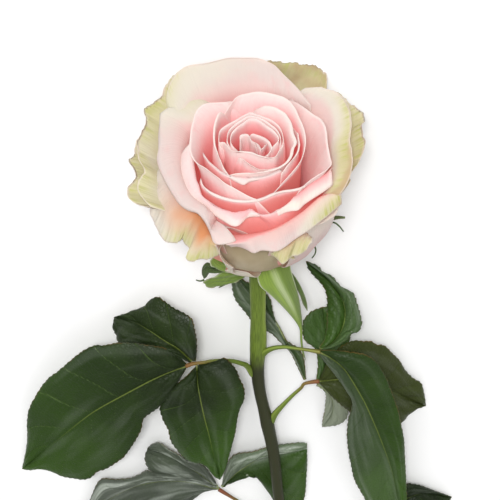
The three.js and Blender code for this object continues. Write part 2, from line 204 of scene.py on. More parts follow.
class Piece:
    """One object of the scene, made of thin blades and round bars in the layout frame."""

    def __init__(self):
        self.points, self.faces, self.fields, self.count = [], [], {}, 0
        self.sharp = []

    def _add(self, points, faces, fields, sharp=0):
        """Adds points and faces, the last few of them not smoothed into their neighbours."""
        self.points.append(points)
        self.sharp += [False] * (len(faces) - sharp) + [True] * sharp
        self.faces += (faces + self.count).tolist()
        for name, values in fields.items():
            before = self.fields.setdefault(name, [])
            missing = self.count - sum(len(part) for part in before)
            if missing:
                before.append(np.zeros(missing))
            before.append(np.asarray(values, float).ravel())
        self.count += len(points)

    def blade(self, grid, thickness, **fields):
        """A thin solid round the surface grid[along, across], thinner at its edges. Its fields lie on it."""
        rows, columns = grid.shape[:2]
        grid = grid.copy()
        grid[..., 2] = np.maximum(grid[..., 2], SURFACE + thickness / 2)
        edge = gap_to_edge(grid)
        half = 0.5 * thickness * (EDGE_SHARE + (1 - EDGE_SHARE) * smooth(edge, 0, THINNING))
        out = grid_normals(grid) * half[..., None]
        skins = np.concatenate((grid + out, grid - out)).reshape(-1, 3)
        skins[:, 2] = np.maximum(skins[:, 2], SURFACE)
        index = np.arange(rows * columns).reshape(rows, columns)
        corners = index[:-1, :-1], index[:-1, 1:], index[1:, 1:], index[1:, :-1]
        quads = np.stack(corners, axis=-1).reshape(-1, 4)
        under = rows * columns
        rim = np.concatenate((index[0, :-1], index[:-1, -1], index[-1, :0:-1], index[:0:-1, 0]))
        after = np.roll(rim, -1)
        walls = np.stack((rim, rim + under, after + under, after), axis=-1)
        faces = np.concatenate((quads, quads[:, ::-1] + under, walls))
        v, u = np.meshgrid(np.linspace(0, 1, rows), np.linspace(-1, 1, columns), indexing="ij")
        both = {}
        for name, values in {"across": u, "along": v, "edge": edge, **fields}.items():
            both[name] = np.tile(np.broadcast_to(values, (rows, columns)).ravel(), 2)
        both["front"] = np.repeat((1.0, 0.0), under)
        self._add(skins, faces, both, len(walls))

    def bar(self, line, radius, sides=20, **fields):
        """A round bar along a line of points, its radius and fields given for each, with bulging ends."""
        line, radius = np.asarray(line, float), np.broadcast_to(radius, len(line)).astype(float)
        way = np.gradient(line, axis=0)
        way /= np.linalg.norm(way, axis=1, keepdims=True)
        side = unit(np.cross(way[0], (0.1, 0.3, 1)))
        rings = []
        turn = np.linspace(0, 2 * math.pi, sides, endpoint=False)
        for centre, direction, size in zip(line, way, radius):
            side = unit(side - direction * side.dot(direction))
            other = np.cross(direction, side)
            rings.append(centre + size * (np.outer(np.cos(turn), side) + np.outer(np.sin(turn), other)))
        first, last = way[:1] * radius[0] * CAP_SHARE, way[-1:] * radius[-1] * CAP_SHARE
        points = np.concatenate((*rings, line[:1] - first, line[-1:] + last))
        points[:, 2] = np.maximum(points[:, 2], SURFACE)
        index = np.arange(len(line) * sides).reshape(-1, sides)
        beside = np.roll(index, -1, axis=1)
        quads = np.stack((index[:-1], beside[:-1], beside[1:], index[1:]), axis=-1).reshape(-1, 4)
        tail, tip = len(points) - 2, len(points) - 1
        caps = [[beside[0, i], index[0, i], tail, tail] for i in range(sides)]
        caps += [[index[-1, i], beside[-1, i], tip, tip] for i in range(sides)]
        spread = {"around": np.append(np.tile(turn, len(line)), (0, 0))}
        for name, values in {"along": np.linspace(0, 1, len(line)), **fields}.items():
            spread[name] = np.append(np.repeat(values, sides), (values[0], values[-1]))
        self._add(points, np.concatenate((quads, caps)), spread)

    def make(self, name, material, slot, *nodes):
        """Makes the object, which stands for these nodes of the CAD model."""
        mesh = bpy.data.meshes.new(name)
        faces = [face[:3] if face[2] == face[3] else face for face in self.faces]
        mesh.from_pydata(to_packed(np.concatenate(self.points)).tolist(), [], faces)
        for field, parts in self.fields.items():
            values = np.concatenate(parts)
            values = np.append(values, np.zeros(self.count - len(values)))
            mesh.attributes.new(field, "FLOAT", "POINT").data.foreach_set("value", values.astype(np.float32))
        mesh.polygons.foreach_set("use_smooth", [not sharp for sharp in self.sharp])
        mesh.materials.append(material)
        mesh.update()
        piece = bpy.data.objects.new(name, mesh)
        bpy.context.scene.collection.objects.link(piece)
        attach(piece, "root")
        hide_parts(*nodes)
        return piece


# Materials
def colour(red, green, blue):
    """A colour as it looks on a screen, 0 to 255, as the shader's linear values."""
    linear = [c / 255 / 12.92 if c <= 10 else ((c / 255 + 0.055) / 1.055) ** 2.4 for c in (red, green, blue)]
    return (*linear, 1.0)


class Field:
    """A number that changes over a surface. Python's operators on it add Math nodes."""

    def __init__(self, shader, socket):
        self.shader, self.socket = shader, socket

    def _maths(self, operation, *values):
        return self.shader.node("ShaderNodeMath", {"operation": operation}, dict(enumerate(values)))

    def __add__(self, other):
        return self._maths("ADD", self, other)

    def __sub__(self, other):
        return self._maths("SUBTRACT", self, other)

    def __rsub__(self, other):
        return self._maths("SUBTRACT", other, self)

    def __mul__(self, other):
        return self._maths("MULTIPLY", self, other)

    __radd__, __rmul__ = __add__, __mul__

    def size(self):
        return self._maths("ABSOLUTE", self)

    def most(self, other):
        return self._maths("MAXIMUM", self, other)

    def step(self, low, high):
        """0 up to low, 1 from high, and a smooth step between. low may be above high."""
        ends = {1: low, 2: high} if low < high else {1: high, 2: low}
        made = self.shader.node("ShaderNodeMapRange", {"interpolation_type": "SMOOTHSTEP"}, {0: self, **ends})
        return made if low < high else 1 - made


class Shader:
    """A material with one Principled shader, built node by node."""

    def __init__(self, name, **constants):
        self.material = bpy.data.materials.new(name)
        self.material.use_nodes = True
        self.tree = self.material.node_tree
        self.surface = self.tree.nodes["Principled BSDF"]
        for socket, value in constants.items():
            self.surface.inputs[socket.replace("_", " ").title().replace("Ior", "IOR")].default_value = value

    def node(self, kind, settings, values, output=0):
        """Adds a node, gives it its settings and then its sockets' values or links, and returns an output."""
        made = self.tree.nodes.new(kind)
        for setting, value in settings.items():
            setattr(made, setting, value)
        for socket, value in values.items():
            if isinstance(value, Field):
                self.tree.links.new(value.socket, made.inputs[socket])
            else:
                made.inputs[socket].default_value = value
        return Field(self, made.outputs[output])

    def field(self, name):
        """One of the numbers that Piece keeps for each point."""
        return self.node("ShaderNodeAttribute", {"attribute_name": name}, {}, "Fac")

    def place(self):
        return self.node("ShaderNodeTexCoord", {}, {}, "Object")

    def grid(self, x, y, z=0.0):
        return self.node("ShaderNodeCombineXYZ", {}, {0: x, 1: y, 2: z})

    def noise(self, where, scale, detail=2.0, roughness=0.5):
        values = {"Vector": where, "Scale": scale, "Detail": detail, "Roughness": roughness}
        return self.node("ShaderNodeTexNoise", {}, values, "Fac")

    def mix(self, first, second, share):
        """From the first colour to the second."""
        return self.node("ShaderNodeMix", {"data_type": "RGBA"}, {0: share, 6: first, 7: second}, 2)

    def bump(self, height, distance, strength=1.0):
        return self.node("ShaderNodeBump", {}, {"Height": height, "Distance": distance, "Strength": strength})

    def let_light_through(self, share, tint):
        """This share of the surface passes the light from behind it, in this colour."""
        plain = Field(self, self.surface.outputs[0])
        passing = self.node("ShaderNodeBsdfTranslucent", {}, {"Color": tint})
        mixed = self.node("ShaderNodeMixShader", {}, {0: share, 1: plain, 2: passing})
        self.tree.links.new(mixed.socket, self.tree.nodes["Material Output"].inputs["Surface"])

    def connect(self, **links):
        for socket, value in links.items():
            self.tree.links.new(value.socket, self.surface.inputs[socket.replace("_", " ")])
        return self.material


# Petal colours
RIM_WHITE = colour(239, 228, 220)
PALE = colour(230, 217, 213)
BLUSH = colour(239, 188, 188)
CORAL = colour(230, 150, 151)
CRIMSON = colour(180, 48, 56)
PALE_PINK = colour(231, 206, 202)
ROSE = colour(208, 140, 130)
CREAM = colour(231, 227, 214)
GREEN_CREAM = colour(222, 220, 174)
LIME = colour(196, 202, 110)
TAN = colour(200, 178, 136)
PEACH = colour(222, 150, 100)
GLOW_CORAL = colour(226, 108, 104)
GLOW_PALE = colour(176, 130, 126)
TAUPE = colour(148, 136, 112)
BLACK = colour(0, 0, 0)
LIME_REACH = 11  # how far in from its edge a guard petal is veined with lime, in millimetres
GLOW = 0.22  # stands in for the light that soaks through many petals into the depths
PASSED_INNER = colour(255, 186, 188)
PASSED_OUTER = colour(255, 226, 206)
# The depth colours are partly the petals' own deeper colour, partly painted shade of the wells between
# petals.
INNER_DEPTHS = (BLUSH, CORAL, CRIMSON)
OUTER_DEPTHS = (PALE_PINK, BLUSH, CORAL)


def petal_finish(name, share, passed, depths, glow_pale):
    """White at the rim, then through three colours into the depths, partly the petal's own colour and partly
    painted shade of the wells, with green and peach where a petal has them, a duller outside that is partly
    painted shade, and a glow that stands in for light soaking into the depths."""
    shader = Shader(name, specular_ior_level=0.3, emission_strength=GLOW)
    shader.let_light_through(share, passed)
    along, across, rim = shader.field("along"), shader.field("across"), shader.field("rim")
    green, peach, outside = shader.field("green"), shader.field("peach"), shader.field("front")
    edge, seed, deep = shader.field("edge"), shader.field("seed"), shader.field("deep")
    streaks = shader.noise(shader.grid(across * 22, along * 1.6, seed), 1.6, 3)
    clouds = shader.noise(shader.grid(across * 1.5, along * 2.5, seed), 1.7, 3)
    depth = deep + 0.3 * (clouds - 0.5) + 0.08 * (streaks - 0.5)
    # Deeper below the rim the colour runs to coral and crimson, and on the outside to rose: partly the
    # petals' own deeper colour, partly painted shade in the wells and under lips.
    base = shader.mix(PALE, depths[0], depth.step(0.05, 0.45))
    base = shader.mix(base, depths[1], depth.step(0.4, 1.0))
    base = shader.mix(base, depths[2], depth.step(1.0, 1.9) * (0.85 - 0.4 * outside))
    blotches = shader.noise(shader.grid(across * 5, along * 7, seed), 1.3, 4, 0.6).step(0.45, 0.75)
    base = shader.mix(base, BLUSH, blotches * depth.step(0.6, 0.1) * 0.4)
    base = shader.mix(base, ROSE, outside * depth.step(0.3, 0.9) * 0.7)
    tinted = green * (0.35 + 0.9 * clouds)
    base = shader.mix(base, CREAM, tinted.step(0.05, 0.3))
    base = shader.mix(base, GREEN_CREAM, tinted.step(0.25, 0.9))
    base = shader.mix(base, TAN, tinted.step(0.8, 1.5))
    limy = (tinted * edge.step(LIME_REACH, 0) * streaks.step(0.3, 0.7)).step(0.2, 1.0) * tinted.step(1.4, 0.9)
    base = shader.mix(base, LIME, limy)
    base = shader.mix(base, PEACH, peach * (1 - 0.6 * outside) * (0.5 + 0.9 * (clouds - 0.3)))
    # The outside of the greener petals goes taupe: partly their own dull colour, partly painted shade.
    base = shader.mix(base, TAUPE, outside * green.step(0.3, 1.0) * (0.6 + 0.7 * (clouds - 0.3)))
    base = shader.mix(base, RIM_WHITE, rim * (0.5 + clouds))
    glow = shader.mix(glow_pale, GLOW_CORAL, deep.step(0.2, 1.2))
    relief = streaks * 0.5 + shader.noise(shader.grid(across * 70, along * 8, seed), 1.0, 2) * 0.3
    return shader.connect(
        Base_Color=base,
        Roughness=0.5 + 0.12 * streaks,
        Emission_Color=shader.mix(BLACK, glow, depth.step(2.6, 1.3) * (1 - 0.4 * rim)),
        Normal=shader.bump(relief, 0.0007, 0.6),
    )


LEAF_DARK = colour(20, 32, 8)
LEAF_LIGHT = colour(37, 54, 14)
LEAF_BRIGHT = colour(76, 118, 30)
LEAF_OLIVE = colour(82, 90, 34)
LEAF_PAINTED_SHEEN = colour(196, 204, 192)
LEAF_UNDER = colour(140, 148, 128)
LEAF_VEIN = colour(140, 156, 70)
LEAF_RIB = colour(96, 122, 56)
LEAF_MARGIN = colour(110, 84, 40)


def leaf_finish():
    shader = Shader("leaf", specular_ior_level=0.2)
    along, across, edge = shader.field("along"), shader.field("across"), shader.field("edge")
    front, vein, aside = shader.field("front"), shader.field("vein"), shader.field("aside")
    place = shader.place()
    mottle = shader.noise(place, 90, 4, 0.6)
    patches = shader.noise(place, 28, 2, 0.5)
    cells = {"Vector": place, "Scale": 700}
    net = shader.node("ShaderNodeTexVoronoi", {"feature": "DISTANCE_TO_EDGE"}, cells)
    lines = vein.step(0.92, 0.99) * aside.step(0, 3)
    gleams = shader.noise(shader.grid(across * 3, along * 1.6, shader.field("seed")), 1.3, 2).step(0.45, 0.75)
    midrib = (aside + 0.35 * along).step(0.6, 0.2)
    base = shader.mix(LEAF_DARK, LEAF_LIGHT, mottle.step(0.35, 0.8) * 0.5 + patches.step(0.4, 0.75) * 0.5)
    base = shader.mix(base, LEAF_BRIGHT, shader.field("bright") * (0.5 + patches))
    base = shader.mix(base, LEAF_OLIVE, shader.field("olive"))
    # Painted sheen: grey reflected light where a leaflet's bloom field asks for it, and faintly along the
    # gleams.
    base = shader.mix(base, LEAF_PAINTED_SHEEN, (shader.field("bloom") * (0.3 + gleams)).most(gleams * 0.05))
    base = shader.mix(base, LEAF_RIB, lines * 0.3)
    base = shader.mix(base, LEAF_VEIN, midrib * 0.45 * along.step(0.9, 0.3))
    under = shader.mix(LEAF_UNDER, LEAF_VEIN, (lines * 0.25).most(midrib * 0.5))
    base = shader.mix(under, base, front)
    base = shader.mix(base, LEAF_MARGIN, edge.step(0.6, 0.1) * mottle.step(0.35, 0.6) * 0.7)
    relief = net.step(0, 0.12) * 0.3 + mottle * 0.5 - lines * 0.6
    return shader.connect(
        Base_Color=base,
        Roughness=0.4 + 0.2 * mottle - 0.14 * gleams + 0.2 * (1 - front),
        Normal=shader.bump(relief, 0.0009, 0.6),
    )


STEM_GREEN = colour(106, 126, 44)
STEM_OLIVE = colour(78, 96, 28)
# the next colour is a painted highlight along the stem's lit side
STEM_PAINTED_HIGHLIGHT = colour(142, 162, 74)
STEM_DARK = colour(44, 48, 22)
STEM_BROWN = colour(62, 44, 30)
STEM_RED = colour(134, 74, 48)
DARKENS = (54, 66)  # how far below the receptacle the stem turns dark, in millimetres
BROWNS = (50, 80)


def stem_finish():
    shader = Shader("stem", specular_ior_level=0.35)
    down, around, along = shader.field("down"), shader.field("around"), shader.field("along")
    grain = shader.noise(shader.grid(around * 3, down * 0.05, 0), 4, 4)
    base = shader.mix(STEM_GREEN, STEM_OLIVE, grain.step(0.35, 0.7))
    # A painted highlight down one side of the stem, where the light falls on it.
    base = shader.mix(base, STEM_PAINTED_HIGHLIGHT, around.step(3.1, 3.7) * around.step(4.5, 3.9) * 0.8)
    base = shader.mix(base, STEM_DARK, (down + 6 * (grain - 0.5)).step(*DARKENS))
    base = shader.mix(base, STEM_BROWN, grain.step(0.5, 0.75) * down.step(*BROWNS) * 0.5)
    base = shader.mix(base, STEM_RED, shader.field("red") * (0.6 + 0.6 * grain))
    return shader.connect(
        Base_Color=base,
        Roughness=0.38 + 0.2 * grain,
        Normal=shader.bump(grain, 0.0004, 0.4),
    )


SEPAL_GREEN = colour(138, 164, 62)
SEPAL_DEEP = colour(88, 114, 36)
SEPAL_DARK = colour(48, 70, 26)
SEPAL_BROWN = colour(96, 70, 44)
SEPAL_DOWN = colour(222, 228, 196)


def sepal_finish():
    shader = Shader("sepal", specular_ior_level=0.4, sheen_weight=0.2)
    along, across = shader.field("along"), shader.field("across")
    edge, seed = shader.field("edge"), shader.field("seed")
    streaks = shader.noise(shader.grid(across * 14, along * 2, seed), 2.0, 3)
    base = shader.mix(SEPAL_DEEP, SEPAL_GREEN, streaks.step(0.25, 0.65))
    dark = shader.field("dark")
    midrib = across.size().step(0.35, 0.0) * along.step(0.05, 0.3) * along.step(0.65, 0.4)
    base = shader.mix(base, SEPAL_DOWN, midrib * streaks * 0.8)
    base = shader.mix(base, SEPAL_DARK, dark * (0.4 + streaks))
    base = shader.mix(base, SEPAL_DOWN, edge.step(0.8, 0.0) * (1 - dark) * 0.8)
    base = shader.mix(base, SEPAL_BROWN, edge.step(0.5, 0.1) * streaks.step(0.5, 0.6) * 0.8)
    return shader.connect(
        Base_Color=base,
        Roughness=0.5 + 0.2 * streaks,
        Normal=shader.bump(streaks, 0.0004, 0.5),
    )


# Petals
PETAL_THICKNESS = 0.4
BROADEST = 0.6  # how far along a petal is broadest
PETAL_ROWS, PETAL_COLUMNS = 34, 48
ROWS_TO_RIM = 1.3  # more than 1 sets the rows closer towards the rim
KNOT_RADII = (0.56, 0.87, 1.0)  # of the belly's radius, at these shares of the height
KNOT_HEIGHTS = (0.1, 0.33, 0.62)
SHOULDER = 0.88  # where along the height a petal starts to open out
LIP_BEND = 0.35  # how high a rolled lip arches, for its length
PETAL_WAVE = 4.2  # how far a petal's wave runs from its middle to its side, in radians
CORNER = 2.4  # how sharply a petal's top corners are rounded


def petal_width(v):
    """How wide a petal is at v along it, for its spread."""
    rising = 0.6 + 0.4 * np.sin(np.minimum(v / BROADEST, 1) * math.pi / 2)
    return np.where(v < BROADEST, rising, 1 - 0.2 * ((v - BROADEST) / (1 - BROADEST)) ** 2)


def lean_at(height):
    return BLOOM_LEAN * (height / BLOOM_HEIGHT) ** 2


def seen(pixels, tall, count):
    """Points evenly along a line of the photograph's pixels, where it meets the bloom at this height: turn in
    degrees, radius and height of each. A pixel's third number raises or lowers it."""
    found = []
    for x, y, *lift in pixels:
        height = tall + (lift[0] if lift else 0)
        start, ray = BLOOM_FRAME @ (EYE - RECEPTACLE), BLOOM_FRAME @ sight(x, y)
        level = np.array((0, -lean_at(height), 1))
        point = start + ray * (height - start @ level) / (ray @ level)
        found.append((point[0], point[1], height))
    right, back, heights = through(found, count).T
    return np.degrees(np.unwrap(np.arctan2(back, right))), np.hypot(right, back), heights


def spread_over(u, values):
    """Values given at even steps across a petal, or one value, at each u."""
    values = np.atleast_1d(values)
    return np.interp(u, np.linspace(-1, 1, len(values)), values)


def profile(bellies, radii, heights, cup, shoulder):
    """Radius and height at the knots of a petal's side view, from its foot to its rim, for each column."""
    knots = [(1 + 0.1 * bellies, 0 * heights)]
    for radius, height in zip(KNOT_RADII, KNOT_HEIGHTS):
        knots.append((radius * bellies, height * heights))
    knots.append((bellies + cup * (radii - bellies), shoulder * heights))
    knots.append((radii, heights))
    return knots


def petal(piece, tall, rim=None, edge=None, drop=0.0, turn=0.0, spread=40.0, belly=None, full=1.03, cup=0.3,
          open_rim=None, lip=(0.6, 0.5), wave=0.0, phase=0.0, round_off=None, curl=1.0, green=0.0, reach=12.0,
          peach=0.0, depth=10.0, start=0.0, well=0.0, white=0.8, frill=0.25, crinkle=0.0, narrow=1.0,
          shoulder=SHOULDER, columns=PETAL_COLUMNS, seed=0):
    """One petal. Its rim is either seen in the photograph, from one side edge to the other, or it lies round
    turn at the radius open_rim. edge is the seen edge of a lip that rolls over the rim and ends lower by
    drop. Its belly's radius is given, or follows the rim's by the share full."""
    u = np.linspace(-1, 1, columns)
    v = 1 - (1 - np.linspace(0, 1, PETAL_ROWS)) ** ROWS_TO_RIM
    if rim is None:
        turns, centre = turn + spread * petal_width(1.0) * u, turn
        radii, heights = open_rim + 1.0 * u, np.full(columns, tall)
        bellies = belly + 1.0 * u
        corners = 0.14
    else:
        turns, radii, heights = seen(rim, tall, columns)
        centre = (turns[0] + turns[-1]) / 2
        if belly is None:
            bellies = (0.5 * radii + 0.5 * radii.mean()) * spread_over(u, full)
        else:
            bellies = spread_over(u, belly)
        corners = 0.03 if edge is None else 0.0
    if round_off is not None:
        corners = round_off
    knots = profile(bellies, radii, heights, cup, shoulder)
    swing = lip_length = 0 * u
    if edge is None:
        knots.append((radii + lip[0], heights + lip[1]))
    else:
        lip_turns, lip_radii, lip_heights = seen(edge, tall - drop, columns)
        lip_out, lip_up = lip_radii - radii, lip_heights - heights
        swing = (lip_turns - turns + 180) % 360 - 180
        lip_length = np.sqrt(lip_out**2 + lip_up**2 + (radii * np.radians(swing)) ** 2)
        bend = LIP_BEND * np.hypot(lip_out, lip_up) * curl
        knots.append((radii + 0.5 * lip_out, heights + 0.5 * lip_up + bend))
        knots.append((radii + lip_out, heights + lip_up))
    knots = np.array(knots).transpose(0, 2, 1)
    outline = np.empty((PETAL_ROWS, columns, 2))
    for i in range(columns):
        outline[:, i] = through(knots[:, i], v * (1 - corners * abs(u[i]) ** CORNER))
    vv, uu = v[:, None], u[None, :]
    widths = 1 + (petal_width(vv) / petal_width(1.0) - 1) * narrow
    angle = np.radians(centre + (turns - centre)[None, :] * widths + swing[None, :] * smooth(vv, 0.85, 1.0))
    ripple = wave * vv**3 * np.sin(uu * PETAL_WAVE + phase)
    fine = frill * smooth(vv, 0.7, 1.0) * ripples(seed, uu, 5, 0.9)
    fine = fine + crinkle * smooth(vv, 0.85, 1.0) * ripples(seed + 9, uu * 7, 4)
    swell = 0.5 * ripples(seed + 50, uu * 0.8 + vv * 0.5, 3, 0.5) * np.sin(math.pi * vv) ** 2
    radius = np.maximum(1.0, outline[..., 0]) + ripple + 0.5 * fine + swell
    back = radius * np.sin(angle)
    height = outline[..., 1] + 0.6 * ripple + fine + back * lean_at(outline[..., 1])
    grid = RECEPTACLE + np.stack((radius * np.cos(angle), back, height), axis=-1) @ BLOOM_FRAME
    below = gap_to_end(grid)
    # deep grows below the rim and sets the depth colours, partly painted shade of the wells: start raises it
    # on faces in shade and lowers it to paint steep shaded faces lighter, and well deepens it away from a
    # rolled lip as painted shade.
    deep = spread_over(uu, start) * smooth(below, 1.5, 4) + below / depth
    fields = {
        "green": spread_over(uu, green) * smooth(below, reach, 0),
        "deep": deep + spread_over(uu, well) * smooth(below - lip_length, -0.2, 1.0),
        "peach": spread_over(uu, peach) * smooth(below, 1, 12),
        "rim": 0.8 * smooth(gap_to_edge(grid), white, 0.2 * white),
    }
    if turns[-1] < turns[0]:
        grid, fields = flipped(grid, fields)
    piece.blade(grid, PETAL_THICKNESS, seed=float(seed), **fields)


# Rims and edges that the photograph shows are lists of its pixels, from one side edge of the petal to the
# other, and a third number raises that point. Several values of one setting lie at even steps from side to
# side. The other petals lie round a turn of the bloom's axis: 0 is to the right, 90 underneath and 270 the
# open front.
HEART = [
    dict(tall=56, full=1.0, narrow=0, depth=20, frill=0, white=0.8, rim=[(262, 151, -3), (257, 148, -2),
        (253.5, 144.5, -0.6), (250.5, 140, 0), (249, 136.8, 0), (245, 135.8, 0), (241, 137.2, 0),
        (240.2, 143, -1), (239.4, 149, -3)]),
    dict(tall=55.6, depth=8, white=0.55, rim=[(247, 141, -3), (250.5, 136, -0.5), (256, 136.3), (263, 139),
        (268, 143), (271, 148), (269.5, 153), (264, 156, -1)], frill=0.1),
    dict(tall=55.7, depth=8, white=0.55, rim=[(253, 141.5, -2), (257, 145.5, -1), (261, 149.5),
        (264.5, 146.5), (267.5, 143)], frill=0.05, full=0.9),
    dict(tall=55.8, depth=8, white=0.55, rim=[(238, 150, -2), (232, 145), (230.5, 139), (233, 133.5),
        (238, 128.5), (244, 124), (250, 120.5), (257, 121.5), (264, 126), (270, 130), (275, 134),
        (278.3, 138.5), (278, 142), (274, 145.5), (270.5, 149.5, -0.5), (268, 154, -2)], frill=0.1),
    dict(tall=55.8, depth=8, white=0.55, rim=[(235, 152, -3), (230, 147, -1), (227.5, 142), (227.5, 137),
        (230, 131.5), (235, 126.5), (242, 121.5), (249, 117.5), (254, 118), (260, 120), (266, 123),
        (272, 127.5), (277, 132), (280.5, 138), (280, 143, -1), (276, 150, -4)], frill=0.1),
    dict(tall=55.4, depth=8, white=0.55, rim=[(227, 151, -4), (220.5, 146, -1.5), (219, 140), (220, 133.5),
        (224, 129), (231, 124.5), (239, 120), (246, 116.5), (250.5, 113.8), (255, 116), (263, 118.5),
        (271, 122), (277, 126.5), (281, 132), (283, 138), (282.5, 144, -1), (278, 152, -4)], frill=0.15),
    dict(tall=55.4, depth=20, white=1.2, full=1.14, narrow=-0.5, start=0.1, rim=[(219, 141.5), (224, 142),
        (227, 146), (231, 150.5), (236, 152), (243, 152.2), (252, 153.5), (258, 156), (266, 158), (272, 158),
        (276, 156.5), (279.5, 150), (283.5, 144)], frill=0.15),
]
INNER = [
    dict(tall=54, depth=16, full=1.17, narrow=-0.3, start=(0.2, 0.3, 0.3), rim=[(235, 157, -2),
        (243, 160, -0.5), (250, 165, -0.5), (259, 169.8, -1), (268, 170, -2), (277, 166, -2)],
        lip=(0.3, 0.5)),
    dict(tall=55, white=1.4, depth=14, rim=[(234, 127, -9), (228, 119, -5), (223, 114, -1.5), (219, 115.5),
        (216.8, 121), (215.3, 128), (214.6, 136), (215, 144), (217, 152), (220, 160), (224, 168),
        (229, 174.5)]),
    dict(tall=54.6, columns=84, white=2.2, depth=22, lip=(1.0, 0.3), full=(0.8, 0.86, 1.04),
        rim=[(250, 112, -8), (258, 108.5, -3), (265, 107.2, -0.6), (272, 109), (279, 112.5), (285, 116),
        (288, 122), (290, 128), (291.3, 135), (294, 143.5), (291.5, 149), (290, 156), (286.5, 161.5),
        (281, 166), (274, 169.5), (265, 171.8), (255, 173.3), (244, 173.7), (234, 173.8), (229, 175)]),
    dict(tall=54, white=1.7, depth=15, full=1.08, start=0.3, rim=[(203, 155), (205.5, 159), (210, 164),
        (216, 168.5), (222, 173), (229, 176), (236, 177), (245, 177.7), (255, 178), (264, 177), (272, 174.5),
        (280, 171)], edge=[(203, 156), (206, 160.5), (211, 165.5), (217, 170.5), (223, 175), (230, 179),
        (237, 182.5), (243.5, 185), (250, 182), (260, 180), (270, 177.5), (280, 172.5)], drop=1.0),
    dict(tall=54, depth=8, rim=[(293, 126, -3), (297, 136, -1), (298.5, 146), (296.5, 154), (291.5, 161),
        (286.5, 167), (281, 173)]),
]
MIDDLE = [
    dict(tall=53.5, depth=30, columns=96, white=1.1, full=(0.85, 0.8, 0.92), start=(0, 0.15, 1.9),
        rim=[(216, 138, -6), (218, 128, -3), (222, 119, -1), (231, 105), (239, 97.5), (250, 95.5),
        (262, 94.8), (275, 96.5), (286, 100), (293, 108), (299, 120), (303, 131), (304.7, 142), (303, 155),
        (298, 165), (290, 174.5), (283, 182), (276, 190)]),
    dict(tall=53.5, depth=24, columns=84, full=(0.7, 0.8, 1.06), rim=[(246, 104, -9), (238, 102.5, -5),
        (231, 102, -1.5), (225, 103.5), (217, 104.5), (209, 105.5), (202, 109), (196, 116), (193, 126),
        (191.3, 138), (191, 150), (194, 159), (199, 164.5), (205, 168), (211, 172.5), (218, 178), (225, 184),
        (233, 188), (241, 192), (249, 195.5), (256, 197.5)]),
    dict(tall=51.5, white=1.6, depth=22, start=0.7, rim=[(203, 181), (205, 187), (209, 191), (216, 195),
        (225, 198), (235, 200), (245, 200.6), (256, 200), (264, 197.5), (272, 194), (280, 191.5),
        (290, 190.2), (298, 189), (304, 186.5)], edge=[(201, 181), (204, 188), (208, 192.5), (215, 197),
        (225, 200.5), (235, 202.5), (245, 203), (256, 202.3), (264, 200), (272, 196.5), (280, 193.5),
        (290, 192), (298, 190.5), (305, 187.5)], drop=0.6),
    dict(tall=52, belly=19.8, depth=27, shoulder=0.82, cup=0.45, start=(-0.38, -0.38, -0.25),
        rim=[(290, 98, -5), (297, 104, -2), (304, 110.5), (312, 116), (320, 121.5), (325, 133), (327, 148),
        (329, 157), (330, 165), (325, 171), (316, 176.5), (308, 182), (301, 188)]),
    dict(tall=49.5, full=1.08, columns=84, white=2.4, depth=28, start=(-0.2, 0.1, 0.35, 0.4, 0.45),
        rim=[(191, 150), (193, 162), (196, 172), (199.5, 182), (203.5, 192), (208, 200), (215, 205.5),
        (224, 210), (232, 212.3), (240, 212.5), (246, 211), (252, 209), (258, 209), (262, 211), (267, 214),
        (272, 214.5), (277, 212), (284, 206.5), (291, 200.5), (298, 193.5), (304, 188.5), (311, 184),
        (320, 178.5), (331, 171)], edge=[(180, 156, -1.6), (180, 170, -1.6), (183, 182, -1.5),
        (188, 193, -1.3), (195, 201, -1.4), (205, 208, -1.5), (216, 216.5, -0.9), (224, 221.5, -0.3),
        (232, 226), (238, 226), (243, 222), (247.5, 218), (254, 217), (262, 217), (270, 217.5), (277, 217),
        (284, 213.5), (291, 211.5), (298, 210.5), (304, 205), (311, 200), (318, 195.5), (325, 191),
        (333, 185)], drop=2.4, green=(0, 0, 0, 0.4, 0.2), reach=8, curl=0.4),
]
